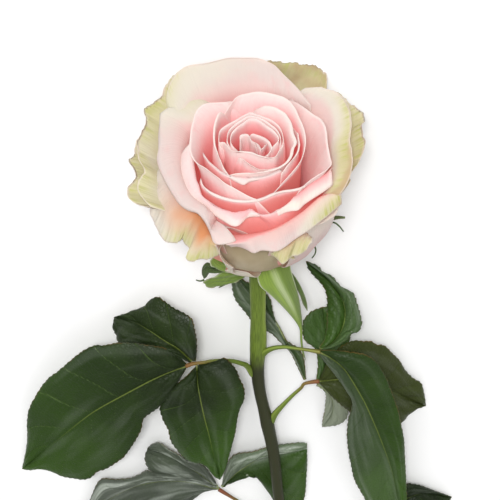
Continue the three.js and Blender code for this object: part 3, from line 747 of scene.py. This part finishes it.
OUTER = [
    dict(tall=50, belly=31, cup=0.2, depth=24, columns=84, shoulder=0.93, start=(-0.1, -0.15, -0.1),
        rim=[(170, 116, -7), (166.5, 105, -3), (167, 95, -1), (172, 84), (180, 75), (190, 68.5), (205, 65.5),
        (218, 62.5), (233, 60), (248, 59.5), (262, 61.5), (272, 66), (282, 75), (292, 83), (302, 91),
        (312, 102)], green=(0.8, 0.2, 0.0), reach=26),
    dict(tall=48, belly=26, cup=0.3, depth=26, columns=84, shoulder=0.93, rim=[(288, 106, -10),
        (295, 98, -5), (303, 90.5), (313, 89.5), (325, 91), (336, 94.5), (344, 103), (349, 113), (350, 128),
        (348.5, 140), (350, 152), (350.5, 165), (349, 177), (345.5, 186, -1), (341, 194, -2), (337, 202, -5),
        (329, 209, -9)], crinkle=0.2, green=(0.1, 0.4, 0.9, 2.0, 2.6), reach=11),
    dict(tall=48, belly=25.5, cup=0.15, depth=26, columns=84, shoulder=0.95, rim=[(222, 86, -8),
        (210, 84, -4), (200, 86.5, -1), (190, 94), (183, 102), (177, 109), (169, 110.5), (164, 113),
        (163.5, 125), (162, 140), (161, 155), (163, 166), (168, 180), (175, 192), (182, 201), (192, 207),
        (199, 211), (204, 219), (208, 225), (212, 228, -1), (217, 227, -3), (222, 222, -5)],
        green=(0.7, 0.9, 0.3, 0, 0, 0, 0), reach=22, edge=[(222, 86, -7), (210, 84, -3), (200, 86.5, 0),
        (190, 94), (183, 101.7), (177, 108.4), (169, 109.7), (163.5, 112.5), (162.5, 125), (160.5, 140),
        (156.5, 157), (158.5, 168), (164.5, 181), (172, 194), (180, 205), (189, 211), (198, 214),
        (205.5, 223), (210.5, 234), (214.5, 243.5), (224, 244.3), (236, 241)], drop=1.2, narrow=-0.35),
    dict(tall=46.5, belly=26.5, rim=[(233, 246), (241, 244), (252, 240.5), (263, 235.5), (278, 228.5),
        (290, 221), (302, 212.5), (310, 206), (316, 201.5), (322, 199), (329, 198), (336, 201)],
        edge=[(231, 247), (238, 246.5), (246, 249.5), (254, 253.5), (262, 250.5), (276, 251.5), (285, 247),
        (296, 238.5), (308, 231), (324, 219), (342, 204)], drop=4, green=(0, 0, 1.6), reach=10, depth=20,
        curl=0.5, start=(0.1, 0.25, 0.35), peach=(0.1, 0.4, 0.5), well=(0.9, 0.9, 0.8, 0.6, 0.2)),
    dict(tall=43, turn=236, spread=42, belly=25.8, open_rim=27.6, lip=(1, -1), depth=40, start=0.9,
        white=0.4),
]
GUARD = [
    dict(tall=42, belly=33, cup=0.2, frill=0.6, crinkle=0.3, depth=90, columns=96, green=(1.5, 1.6, 1.6),
        reach=60, rim=[(238, 68, -5), (250, 61.5, -1), (262, 58.5), (277, 57.7), (291, 58.8), (297, 63),
        (307, 65), (317, 69), (324, 77), (327, 88), (331, 98, -4)]),
    dict(tall=43, turn=98, spread=38, belly=38.4, open_rim=42.5, lip=(4, -1), wave=1, phase=3, green=1,
        reach=60, depth=90),
    dict(tall=43, belly=32, cup=0.2, depth=70, columns=96, frill=0.5, crinkle=0.3, rim=[(205, 66), (190, 68),
        (178, 76), (171, 84), (163, 97), (157, 102), (146, 111.5), (148, 121), (144, 133), (140, 141),
        (139, 147), (141, 160), (146, 170), (143, 176), (138, 184), (138, 191), (142, 198), (148, 206)],
        green=1, reach=50),
    dict(tall=39, belly=31, cup=0.2, depth=70, frill=0.6, crinkle=0.3, columns=72, rim=[(150, 128),
        (142, 138), (137, 146), (135, 156), (132, 163), (136, 170), (138, 178), (133, 185), (129, 190),
        (130, 196), (134, 201), (141, 205), (152, 208)], green=1, reach=50),
    dict(tall=43, belly=29, cup=0.4, depth=60, columns=120, frill=0.6, curl=0.5, crinkle=0.55, white=0.8,
        rim=[(166, 150), (166, 164), (169, 178), (175, 190), (182, 201), (192, 208), (199, 213), (205, 224),
        (209, 234), (212, 241), (216, 246)], narrow=0.0, edge=[(160, 160), (158, 172), (152, 182),
        (150, 190), (151, 203), (150, 212), (155, 225), (160, 235), (165, 241.5), (172, 243), (178, 242),
        (182, 239), (184, 243.5), (190, 249), (188, 255), (187.5, 260.5), (193, 261.5), (201, 259),
        (208, 259.5), (214, 257), (220, 253.5)], drop=9, green=(0.8, 0.35, 0.3, 0.4, 1.0, 1.2, 1.0),
        reach=26, peach=(0, 0, 0.1, 0.6, 1.5, 1.8, 0.5)),
    dict(tall=35, belly=27.6, cup=0.5, frill=0.3, depth=80, crinkle=0.15, white=0.4, rim=[(234, 269, -12),
        (225, 263, -6), (220.5, 256, -1.2), (220, 249, 1.1), (224, 243.5, 0.6), (236, 240), (246, 240),
        (253, 245), (259, 247), (265, 245), (272, 247), (279, 251), (286, 257, -1.5), (296, 260, -6)],
        green=(0.3, 0.5, 0.8, 1, 1.2, 1.2), reach=80, lip=(0.3, 0.3)),
    dict(tall=39, belly=27.6, cup=0.5, frill=0.3, depth=40, curl=0.4, rim=[(276, 252), (283, 247),
        (290, 243), (297, 237.5), (304, 233.5), (310, 236), (314, 240)], edge=[(270, 254), (276, 258),
        (282, 264), (287, 261.5), (292, 256.5), (299, 255), (307, 250)], drop=4, green=(0.9, 1.6, 1.2),
        reach=16, peach=(0.8, 0.6, 0.2)),
    dict(tall=12, belly=24, cup=0.5, frill=0.2, depth=30, green=0.5, reach=60, peach=0.4, white=0.3,
        rim=[(219, 262), (224, 265.5), (230, 268.5), (240, 271), (250, 272), (260, 271.5)], lip=(0.3, 0.3),
        round_off=0.4),
    dict(tall=38, turn=322, spread=28, belly=30.5, open_rim=32.4, lip=(2, 0), wave=1.2,
        green=(0.35, 0.3, 0.3), depth=60, reach=30),
    dict(tall=42, belly=(31.2, 31.2, 30.9, 29.9, 29.4), cup=0.2, frill=0.6, crinkle=0.3, depth=90,
        columns=96, green=(1, 1, 1.3), reach=60, rim=[(322, 100, -6), (330, 94, -1), (336, 93.5), (342, 98),
        (350, 106.5), (359.5, 113), (363, 123), (360, 127), (361.7, 138), (362.7, 148), (358, 162),
        (351, 173), (350, 182), (344, 191), (338, 200, -2)]),
]


def make_bloom():
    inner = petal_finish("inner_petal", 0.12, PASSED_INNER, INNER_DEPTHS, GLOW_PALE)
    outer = petal_finish("outer_petal", 0.25, PASSED_OUTER, OUTER_DEPTHS, BLACK)
    rings = {"heart": HEART, "inner": INNER, "middle": MIDDLE, "outer": OUTER, "guard": GUARD}
    seed = 0
    for ring, petals in rings.items():
        piece = Piece()
        for settings in petals:
            seed += 1
            petal(piece, seed=seed, **settings)
        piece.make(f"petals_{ring}", outer if ring in ("outer", "guard") else inner, "petal", "bloom")


# Calyx. The urn's outline is radius and height along the bloom's axis. Sepals and threads are in pixels, and
# their midribs and lines have heights in the layout frame too.
URN_OUTLINE = [(4.6, 0.2), (5.8, -2.4), (6, -5), (5.2, -8), (4.2, -10.4)]
URN_POINTS, URN_SIDES = 24, 40
SEPAL_ROWS, SEPAL_COLUMNS, SEPAL_THICKNESS = 70, 21, 0.6
THREAD_POINTS, THREAD_RADII = 12, (0.45, 0.25)
SEPALS = [
    dict(midrib=[(262, 252, 22), (268, 257, 28), (273, 270, 31), (281, 287, 30), (290, 303, 27),
        (297, 317, 23), (301, 328, 20.5), (301.5, 341, 16.5), (303, 352, 13), (306, 361, 9)],
        left=[(257, 253), (257, 262), (257, 274), (258, 281), (261, 287), (267, 292), (275, 299), (284, 308),
        (293, 318), (299, 325), (300.5, 332), (301, 342), (302.5, 352), (306, 361)], right=[(268, 250),
        (280, 254), (289, 262), (291, 270), (294, 280), (297, 290), (299.5, 301), (301, 312), (302, 322),
        (302, 330), (302.3, 341), (303.6, 352), (306, 361)], rise=(-1, -2), shaded=0.45),
    dict(midrib=[(254, 252, 20), (247, 264, 23), (238, 273, 26), (226, 279, 28), (214, 282, 27),
        (205, 284, 25)], left=[(252, 250), (243, 260), (234, 268), (226, 270), (216, 275), (208, 279),
        (203, 282), (205, 284)], right=[(257, 254), (249, 270), (242, 279), (233, 282), (222, 285),
        (213, 288), (207, 287), (205, 284)], rise=(1, -2), dark=0.45, crumple=0.7),
    dict(midrib=[(254, 250, 21), (246, 261, 25), (238, 267, 28.5), (230, 266.5, 30.5), (221, 264, 32),
        (215, 260.5, 31.5), (212.5, 257.5, 31)], left=[(252, 247), (243, 257), (236, 261.5), (229, 261.5),
        (222, 259.5), (217, 257), (213, 257)], right=[(256, 252), (248, 266), (240, 272), (232, 272),
        (224, 271), (216, 269.5), (211, 266), (210, 261), (213, 257)], rise=(0, -1.5), dark=0.15,
        crumple=0.8),
    dict(midrib=[(254, 251, 20), (246, 263, 22.5), (234, 270, 24.5), (224, 270, 26), (215, 268.5, 28),
        (208, 268, 28.5), (204.5, 272, 27), (204, 279, 25)], left=[(252, 249), (242, 259), (232, 265),
        (222, 266), (214, 264.5), (207, 262.5), (202.5, 267), (202, 274), (204, 279)], right=[(256, 253),
        (248, 268), (236, 274), (224, 273), (216, 273), (211, 272), (208.5, 274), (206.5, 277), (204, 279)],
        rise=(1, 1), dark=1.0, crumple=0.6),
    dict(midrib=[(260, 254, 17), (272, 262, 19), (285, 271, 22), (295, 281, 23.5), (301, 292, 23),
        (304.5, 301, 21), (307.5, 311, 19)], left=[(258, 257), (270, 265), (283, 274), (293, 284),
        (299, 293), (303, 304), (307.5, 311)], right=[(262, 251), (274, 259), (287, 268), (296, 278),
        (303, 291), (307, 303), (307.5, 311)], dark=0.8),
    dict(midrib=[(258, 247, 18), (284, 239.5, 20.3), (304, 232.5, 22.3), (319, 225, 24.6),
        (333, 218.5, 26.5), (345, 217.5, 30)], left=[(258, 244), (284, 236), (304, 229), (319, 221.5),
        (333, 216), (345, 216.5)], right=[(258, 250), (284, 243), (304, 236), (319, 229), (333, 220.5),
        (345, 218.5)], dark=0.8),
]
THREADS = [
    [(204, 280, 26), (200, 281, 25.5), (196, 280, 25)],
    [(233, 281, 25), (226, 284, 25), (219, 287.5, 24)],
    [(322, 224, 25), (333, 222.3, 26.5), (339, 226, 27), (343.5, 231.5, 26)],
    [(304, 235, 22.3), (309, 240.5, 24), (313, 244, 25), (315.7, 249, 25), (315, 254, 24.5), (312, 258, 24)],
]


def sepal(piece, midrib, left, right, rise=(0, 0), dark=0.0, shaded=0.0, crumple=0.0, seed=0):
    grid, aside = traced(midrib, left, right, SEPAL_ROWS, SEPAL_COLUMNS, rise)
    v, u = np.linspace(0, 1, SEPAL_ROWS)[:, None], np.linspace(-1, 1, SEPAL_COLUMNS)[None, :]
    lift = crumple * ripples(seed + 70, v * 1.8 + u * 0.7, 4) - 0.4 * np.exp(-(aside**2))
    grid = lifted(grid, lift * smooth(v, 1, 0.7))
    fields = {"dark": dark + shaded * smooth(u, 0.05, 0.4) + 0 * v}
    grid, fields = facing(grid, fields)
    piece.blade(grid, SEPAL_THICKNESS, seed=float(seed), **fields)


def make_calyx():
    piece = Piece()
    outline = through(URN_OUTLINE, URN_POINTS)
    line = RECEPTACLE + outline[:, 1:] * BLOOM_AXIS
    piece.bar(line[::-1], outline[::-1, 0], URN_SIDES)
    for seed, settings in enumerate(SEPALS):
        sepal(piece, seed=seed, **settings)
    plain = np.ones(THREAD_POINTS)
    for knots in THREADS:
        line = through([over(*knot) for knot in knots], THREAD_POINTS)
        radii = np.linspace(*THREAD_RADII, THREAD_POINTS)
        piece.bar(line, radii, THIN_SIDES, edge=2 * plain, dark=plain)
    piece.make("sepals", sepal_finish(), "sepal", "calyx")


# Stem, in the layout frame. Its radii are given at places along Y.
STEM_TOP = 8.5  # how far below the receptacle the stem starts, inside the urn
STEM_POINTS, STEM_SIDES = 260, 28
STEM_LINE = [
    (0.6, -15, 14.2), (0.8, -31, 12.6), (1, -53, 11.4), (0.6, -64, 10.9), (1.8, -77, 10.5), (4.4, -90, 10),
    (8, -110, 9.3), (10.6, -135, 8.5), (14, -160, 7.7), (17, -215, 6.2), (17.5, -270, 4.6),
]
STEM_RADII = [
    (-340, 3), (-200, 2.7), (-164, 2.4), (-156, 2.9), (-146, 2.3), (-130, 2.4), (-110, 2.6), (-100, 2.8),
    (-94, 3), (-84, 2.55), (-76, 2.6), (-67, 2.9), (-61, 3.2), (-55, 3.6), (-49, 3.6), (-41, 3.2),
    (-31, 3.3), (-20, 3.6), (0, 4.4),
]
STEM_FOOT = (15, -329, 3.2)


def make_stem():
    neck = RECEPTACLE - STEM_TOP * BLOOM_AXIS
    line = through([neck, *STEM_LINE, STEM_FOOT], STEM_POINTS)
    places, radii = np.array(STEM_RADII, float).T
    radius = np.interp(line[:, 1], places, radii)
    piece = Piece()
    piece.bar(line, radius, STEM_SIDES, down=-line[:, 1])
    piece.make("stem_bark", stem_finish(), "stem", "stem")


# Leaves
LEAF_THICKNESS = 0.45
LEAF_ROWS, LEAF_COLUMNS = 130, 41
SIDE_VEINS = 6.5
TOOTH = 2.6  # how far apart a leaf's teeth are
TOOTH_DEPTH = 0.55
HALF_LEAST = 0.3
BROAD = 14  # a leaf this wide bulges fully between its side veins
RIB_RADII = (0.75, 0.2)
RIB_SHORT = 8  # how many rows before the tip a rib ends
STALK_POINTS, STALK_SIDES = 60, 14
STALK_START = 30  # how far down the stem's colours a stalk's begin


def traced(midrib, left, right, rows, columns, rise=(0.0, 0.0), tooth=0.0):
    """A surface between two outlines in the photograph's pixels, on a midrib of pixels with their heights,
    and how far each point is from the midrib. The edges rise above the midrib by up to these two amounts."""
    v = np.linspace(0, 1, rows)
    at = through([over(*knot) for knot in midrib], rows)
    edges = []
    for outline, lift in zip((left, right), rise):
        heights = np.maximum(at[:, 2] + lift * np.sin(math.pi * v), SURFACE + 0.3)
        edge = np.array([over(x, y, z) for (x, y), z in zip(through(outline, rows), heights)])
        reach = edge - at
        length = np.linalg.norm(reach, axis=1)
        count = np.linalg.norm(np.diff(edge, axis=0), axis=1).sum() / TOOTH
        saw = tooth * (((v * count) % 1.0) ** 0.8 - 0.5) * smooth(v, 0.03, 0.12) * smooth(v, 1.0, 0.97)
        edges.append((reach / np.maximum(length, 1e-6)[:, None], np.maximum(length, HALF_LEAST), saw))
    grid, aside = np.empty((rows, columns, 3)), np.empty((rows, columns))
    for i, u in enumerate(np.linspace(-1, 1, columns)):
        way, length, saw = edges[int(u > 0)]
        reach = abs(u) * length + saw * smooth(abs(u), 0.8, 1.0)
        grid[:, i] = at + way * reach[:, None]
        aside[:, i] = reach
    return grid, aside


def leaflet(piece, midrib, left, right, rise=(0, 0), dome=1.2, veins=SIDE_VEINS, upward=True, bright=(0, 0),
            olive=0.0, bloom=(0, 0), seed=0):
    """One toothed blade, sunk along its veins, and the rib under its middle. bright runs from base to tip,
    and bloom, a painted grey sheen of reflected light, is given for the left and the right half."""
    grid, aside = traced(midrib, left, right, LEAF_ROWS, LEAF_COLUMNS, rise, TOOTH_DEPTH)
    v, u = np.linspace(0, 1, LEAF_ROWS)[:, None], np.linspace(-1, 1, LEAF_COLUMNS)[None, :]
    size = np.abs(u)
    broad = smooth(aside[:, [0]] + aside[:, [-1]], 0, BROAD)
    phase = veins * v - 1.5 * size**0.85 + 0.05 * ripples(seed, v * 2 + u, 2)
    between = np.abs((phase % 1.0) - 0.5) * 2
    bulge = (1 - between**2.2) * np.sin(math.pi * size) ** 0.7
    lift = 4 * dome * size * (1 - size) + 0.8 * bulge * broad
    lift = lift + 0.6 * ripples(seed, v * 1.6 + 0.3 * u, 3) * size**2 * broad
    lift = lift - 0.35 * np.exp(-((aside / 0.8) ** 2))
    grid = lifted(grid, lift * smooth(v, 0, 0.06) * smooth(v, 1, 0.94))
    grid[..., 2] = np.maximum(grid[..., 2], SURFACE + 0.25)
    rib = grid[: LEAF_ROWS - RIB_SHORT, LEAF_COLUMNS // 2] - (0, 0, LEAF_THICKNESS)
    fields = {
        "vein": between,
        "aside": aside,
        "bright": bright[0] + (bright[1] - bright[0]) * v + 0 * u,
        "olive": olive + 0 * between,
        # bloom: painted grey sheen of reflected light, for each half of the leaflet
        "bloom": bloom[0] * smooth(u, 0.1, -0.1) + bloom[1] * smooth(u, -0.1, 0.1) + 0 * v,
    }
    grid, fields = facing(grid, fields, upward)
    piece.blade(grid, LEAF_THICKNESS, seed=float(seed), **fields)
    piece.bar(rib, np.linspace(*RIB_RADII, len(rib)), THIN_SIDES)


def stalk(piece, line, base=1.5, tip=0.7, red=1.0, dark=55):
    """A leaf's stalk, thick where it leaves the stem. dark is how far down the stem's colours its end is, and
    red is how red it is there."""
    at = through([over(*knot) for knot in line], STALK_POINTS)
    share = np.linspace(0, 1, STALK_POINTS)
    radius = tip + (base - tip) * (1 - share) ** 3 + 0.25 * smooth(share, 0.8, 1)
    down = STALK_START + (dark - STALK_START) * share
    piece.bar(at, radius, STALK_SIDES, down=down, red=red * smooth(share, 0.55, 1.0))


# Pixels of the photograph, from base to tip. A stalk's and a midrib's have heights in the layout frame too.
LEAVES = {
    "leaf_left": dict(
        stalk=[(253, 374, 11), (247, 366, 13), (240, 363, 15.5), (232, 361, 17), (223, 360.5, 18),
            (212, 361, 19), (203, 362.5, 19.5), (194, 363.5, 19.3), (186, 366, 19)],
        stalk_look=dict(base=1.6, red=0.8),
        leaflets=[
            dict(midrib=[(187, 366, 19), (172, 371, 20), (150, 381, 21), (120, 397, 19.5), (100, 408, 17),
                (85, 418, 14.5), (60, 438, 9), (40, 455, 4), (22, 469, 0.8)], left=[(186, 363), (175, 353),
                (160, 347), (140, 344), (117, 343), (105, 345), (94, 345), (84, 350), (78, 354), (66, 364),
                (58, 371), (50, 377), (42, 386), (35, 397), (29, 409), (27, 422), (27, 438), (26, 450),
                (24, 460), (22, 469)], right=[(186, 369), (178, 382), (170, 395), (158, 408), (150, 414),
                (143, 420), (141, 430), (135, 441), (129, 450), (122, 459), (113, 465), (105, 469),
                (98, 471), (91, 477), (83, 479), (75, 478), (62, 476), (50, 471), (40, 469), (30, 470),
                (22, 469)], bright=(-0.05, 0.35)),
            dict(midrib=[(192, 361, 19), (180, 350, 19), (165, 341, 17.5), (150, 331, 15), (138, 324, 11),
                (125, 319, 7), (114, 317, 4)], left=[(196, 361), (197, 345), (195, 330), (193, 320),
                (186, 314), (176, 309), (170, 305), (163, 300), (158, 297), (151, 299), (148, 303),
                (140, 308), (134, 313), (126, 316), (119, 316), (114, 317)], right=[(190, 363), (180, 357),
                (165, 352), (150, 348), (135, 345), (122, 344), (117, 341), (116, 335), (113, 329),
                (114, 323), (114, 317)], veins=4.5),
            dict(midrib=[(197, 366, 19), (198, 385, 21), (201, 402, 22), (205, 420, 21), (209, 435, 20),
                (213, 452, 18), (217, 466, 15.5), (220, 480, 13)], left=[(195, 367), (186, 376), (176, 385),
                (167, 396), (160, 407), (162, 417), (168, 430), (171, 441), (178, 450), (182, 455),
                (188, 460), (200, 462), (206, 466), (210, 471), (215, 476), (220, 480)], right=[(200, 364),
                (208, 363), (216, 361), (224, 358), (229, 361), (236, 369), (240, 379), (244, 388),
                (244, 400), (240, 410), (237, 421), (235, 433), (232, 445), (229, 455), (226, 465),
                (223, 473), (220, 480)], bright=(-0.2, 0.5)),
        ],
    ),
    "leaf_right_upper": dict(
        stalk=[(258, 360, 11), (265, 352, 13.5), (274, 348, 16.5), (285, 347, 19), (297, 348.5, 21.5),
            (308, 350, 23), (320, 352, 24.3)],
        stalk_look=dict(base=2.0, red=0.35),
        leaflets=[
            dict(midrib=[(319, 352, 24), (330, 357, 25.5), (342, 366, 26.5), (350, 377, 27),
                (358, 390, 26.6), (367, 407, 25.5), (375, 425, 24), (383, 445, 22), (391, 468, 18.5),
                (396, 490, 14.5), (400, 515, 11), (402, 540, 9)], left=[(319, 355), (326, 364), (337, 376),
                (346, 388), (352, 397), (352, 407), (348, 421), (347, 440), (349, 455), (352, 470),
                (355, 482), (360, 491), (367, 503), (378, 518), (389, 531), (402, 541)], right=[(322, 350),
                (335, 350), (350, 352), (366, 355), (376, 362), (385, 376), (392, 393), (398, 410),
                (401, 424), (404, 440), (405, 458), (406, 480), (407, 500), (408, 515), (407, 530),
                (402, 541)], rise=(-6, 2), veins=8, bright=(0.1, 0.4), bloom=(0.12, 0)),
            dict(midrib=[(320, 349, 23), (332, 343, 21.5), (341, 331, 19), (345, 316, 17), (343, 301, 14),
                (335, 288, 11), (324, 276, 8), (306, 261, 5)], left=[(320, 346), (325, 338), (327, 325),
                (327, 310), (327, 300), (325, 290), (320, 282), (313, 275), (308, 268), (306, 261)],
                right=[(325, 350), (335, 347), (345, 341), (352, 334), (358, 332), (362, 324), (360, 313),
                (357, 303), (353, 293), (343, 288), (337, 282), (332, 276), (323, 272), (318, 266),
                (306, 261)], bright=(0.35, 0.2), bloom=(0, 0.14)),
        ],
    ),
    "leaf_right_lower": dict(
        stalk=[(269, 425, 9.5), (275, 414, 10.5), (284, 404, 11.5), (293, 395, 12.3), (301, 388, 13.3),
            (305, 383.5, 14), (319, 381, 14)],
        stalk_look=dict(base=2.0, red=1.0),
        leaflets=[
            dict(midrib=[(318, 381, 14), (335, 379.5, 15.5), (350, 380, 15), (370, 384, 13), (390, 391, 9),
                (410, 400, 4), (426, 406, 0.8)], left=[(320, 377), (328, 362), (338, 349), (352, 341),
                (363, 341), (371, 341), (376, 344), (384, 345), (392, 353), (400, 361), (406, 371),
                (413, 378), (421, 383), (424, 393), (426, 406)], right=[(320, 384), (328, 392), (340, 404),
                (355, 416), (375, 424), (390, 426), (400, 423), (408, 415), (416, 408), (426, 406)],
                olive=0.35),
            dict(midrib=[(305, 380, 13), (300, 365, 10), (290, 350, 7.5), (277, 325, 5), (262, 304, 3.6),
                (248, 290, 2.6), (237, 277, 2)], left=[(303, 379), (298, 368), (291, 354), (284, 346),
                (278, 340), (272, 334), (262, 329), (252, 321), (243, 310), (236, 300), (233, 292),
                (232, 283), (237, 276)], right=[(306, 377), (305, 366), (303, 355), (298, 348), (290, 343),
                (282, 336), (277, 325), (273, 312), (270, 299), (262, 291), (252, 285), (245, 281),
                (237, 276)], dome=0.4, bright=(0.2, 0.2), bloom=(0.3, 0.1)),
            dict(midrib=[(318, 382, 14), (326, 365, 11.6), (328, 342, 8.6), (322, 308, 4)], left=[(316, 380),
                (318, 365), (316, 352), (312, 347), (306, 342), (303, 335), (303, 322), (307, 316),
                (312, 311), (322, 307)], right=[(322, 381), (338, 365), (347, 350), (350, 335), (346, 320),
                (338, 311), (330, 307), (322, 307)], dome=0.5, veins=5, bright=(0.4, 0.4),
                bloom=(0.08, 0.08)),
            dict(midrib=[(318, 384, 13), (329, 394, 11), (333, 405, 8), (331, 416, 5), (323, 427, 2)],
                left=[(316, 386), (324, 388), (326, 396), (325, 408), (323, 418), (322, 427)],
                right=[(325, 384), (340, 388), (350, 397), (349, 408), (346, 419), (338, 425), (330, 426),
                (322, 427)], dome=0.5, upward=False, veins=4),
        ],
    ),
    "leaf_low_left": dict(
        stalk=[(288, 538.6, 7.6), (262, 515.5, 7.5), (240, 502.3, 7), (219, 489.5, 6.5)],
        stalk_look=dict(red=1.0, dark=64),
        leaflets=[
            dict(midrib=[(219, 489, 6.5), (190, 482, 8), (165, 481, 8), (140, 485, 7), (115, 496, 6),
                (95, 512, 4), (70, 534, 2)], left=[(215, 485), (205, 480), (190, 476), (170, 474),
                (155, 473), (146, 471), (138, 475), (128, 478), (115, 479), (103, 478), (98, 482), (94, 490),
                (90, 500), (84, 512), (76, 524), (70, 534)], right=[(214, 490), (205, 490), (197, 496),
                (190, 502), (178, 512), (160, 522), (135, 530), (110, 535), (85, 537), (70, 534)],
                rise=(-1, -3), bloom=(0.5, 0.3)),
            dict(midrib=[(217, 487, 6.5), (200, 474, 7), (182, 463, 7), (165, 454, 6), (148, 449, 3)],
                left=[(216, 482), (211, 474), (205, 467), (195, 462), (187, 460), (180, 455), (172, 450),
                (163, 445), (155, 443), (148, 447)], right=[(212, 487), (203, 483), (192, 480), (178, 478),
                (165, 476), (152, 472), (147, 466), (145, 457), (148, 447)], veins=4, bloom=(0.4, 0.3)),
            dict(midrib=[(222, 487, 6.5), (232, 477, 6), (245, 467, 5.5), (262, 458, 5), (285, 453, 4),
                (307, 449, 3)], left=[(222, 484), (224, 474), (227, 464), (233, 456), (241, 453), (252, 451),
                (265, 447), (280, 445), (295, 443), (307, 443)], right=[(225, 487), (230, 481), (239, 477),
                (246, 475), (251, 474), (258, 470), (264, 475), (270, 482), (273, 494), (278, 506),
                (288, 513), (299, 511), (304, 498), (306, 480), (307, 465), (307, 449)], rise=(1, -3),
                veins=5, bright=(0.1, 0.4), bloom=(0.6, 0)),
        ],
    ),
    "leaf_low_right": dict(
        stalk=[(293, 594, 7), (330, 560.6, 6), (365, 528, 5)],
        stalk_look=dict(red=0.6, dark=64),
        leaflets=[
            dict(midrib=[(361, 531, 5), (395, 505, 6), (424, 493, 5), (452, 497, 1)], left=[(361, 526),
                (372, 505), (388, 490), (404, 483), (416, 484), (427, 488), (438, 492), (452, 497)],
                right=[(366, 533), (385, 534), (406, 530), (424, 524), (438, 513), (452, 497)]),
            dict(midrib=[(357, 537, 5.3), (384, 549, 5), (412, 563, 3), (431, 580, 0.8)], left=[(362, 534),
                (380, 533), (400, 538), (418, 550), (431, 580)], right=[(357, 542), (370, 557), (388, 569),
                (408, 577), (431, 580)]),
            dict(midrib=[(348, 544, 5.3), (340, 571, 4), (343, 599, 2), (350, 619, 0.8)], left=[(346, 543),
                (328, 556), (319, 575), (324, 598), (350, 619)], right=[(351, 546), (360, 560), (364, 580),
                (360, 602), (350, 619)]),
        ],
    ),
}


def make_leaves():
    finish, bark = leaf_finish(), stem_finish()
    seed = 0
    for name, leaf in LEAVES.items():
        piece = Piece()
        for settings in leaf["leaflets"]:
            seed += 1
            leaflet(piece, seed=seed, **settings)
        piece.make(f"{name}_blades", finish, "leaf", name)
        piece = Piece()
        stalk(piece, leaf["stalk"], **leaf["stalk_look"])
        piece.make(f"{name}_stalk", bark, "leaf", name)


# Floor and light
FLOOR_REACH = 3.0
FLOOR_WHITES = colour(253, 253, 253), colour(250, 250, 250)
SKY = 0.56


def make_floor():
    mesh = bpy.data.meshes.new("floor")
    corners = [(x * FLOOR_REACH, y * FLOOR_REACH, 0) for x, y in ((-1, -1), (1, -1), (1, 1), (-1, 1))]
    mesh.from_pydata(corners, [], [(0, 1, 2, 3)])
    shader = Shader("floor", roughness=0.9, specular_ior_level=0.1)
    grain = shader.noise(shader.place(), 60, 3)
    mesh.materials.append(shader.connect(Base_Color=shader.mix(*FLOOR_WHITES, grain)))
    floor = bpy.data.objects.new("floor", mesh)
    bpy.context.scene.collection.objects.link(floor)


LAMPS = [  # name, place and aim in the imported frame, size, power
    ("key", (-0.4, 0.55, 0.9), (0, 0.1, 0), 0.7, 2.3),
    ("fill", (0.7, 0.0, 0.8), (0, 0.05, 0), 0.9, 1.2),
    ("front", (-0.06, 0.62, 1.0), (0, 0.1, 0), 0.25, 6.2),
]


def make_light():
    for name, place, aim, size, power in LAMPS:
        data = bpy.data.lights.new(name, "AREA")
        data.shape, data.size, data.energy = "DISK", size, power
        lamp = bpy.data.objects.new(name, data)
        lamp.location = place
        lamp.rotation_euler = (Vector(place) - Vector(aim)).to_track_quat("Z", "Y").to_euler()
        bpy.context.scene.collection.objects.link(lamp)
    world = bpy.data.worlds.new("studio")
    world.use_nodes = True
    background = world.node_tree.nodes["Background"]
    background.inputs["Color"].default_value = (1, 1, 1, 1)
    background.inputs["Strength"].default_value = SKY
    bpy.context.scene.world = world
    bpy.context.scene.view_settings.view_transform = "Standard"


make_bloom()
make_calyx()
make_stem()
make_leaves()
make_floor()
make_light()
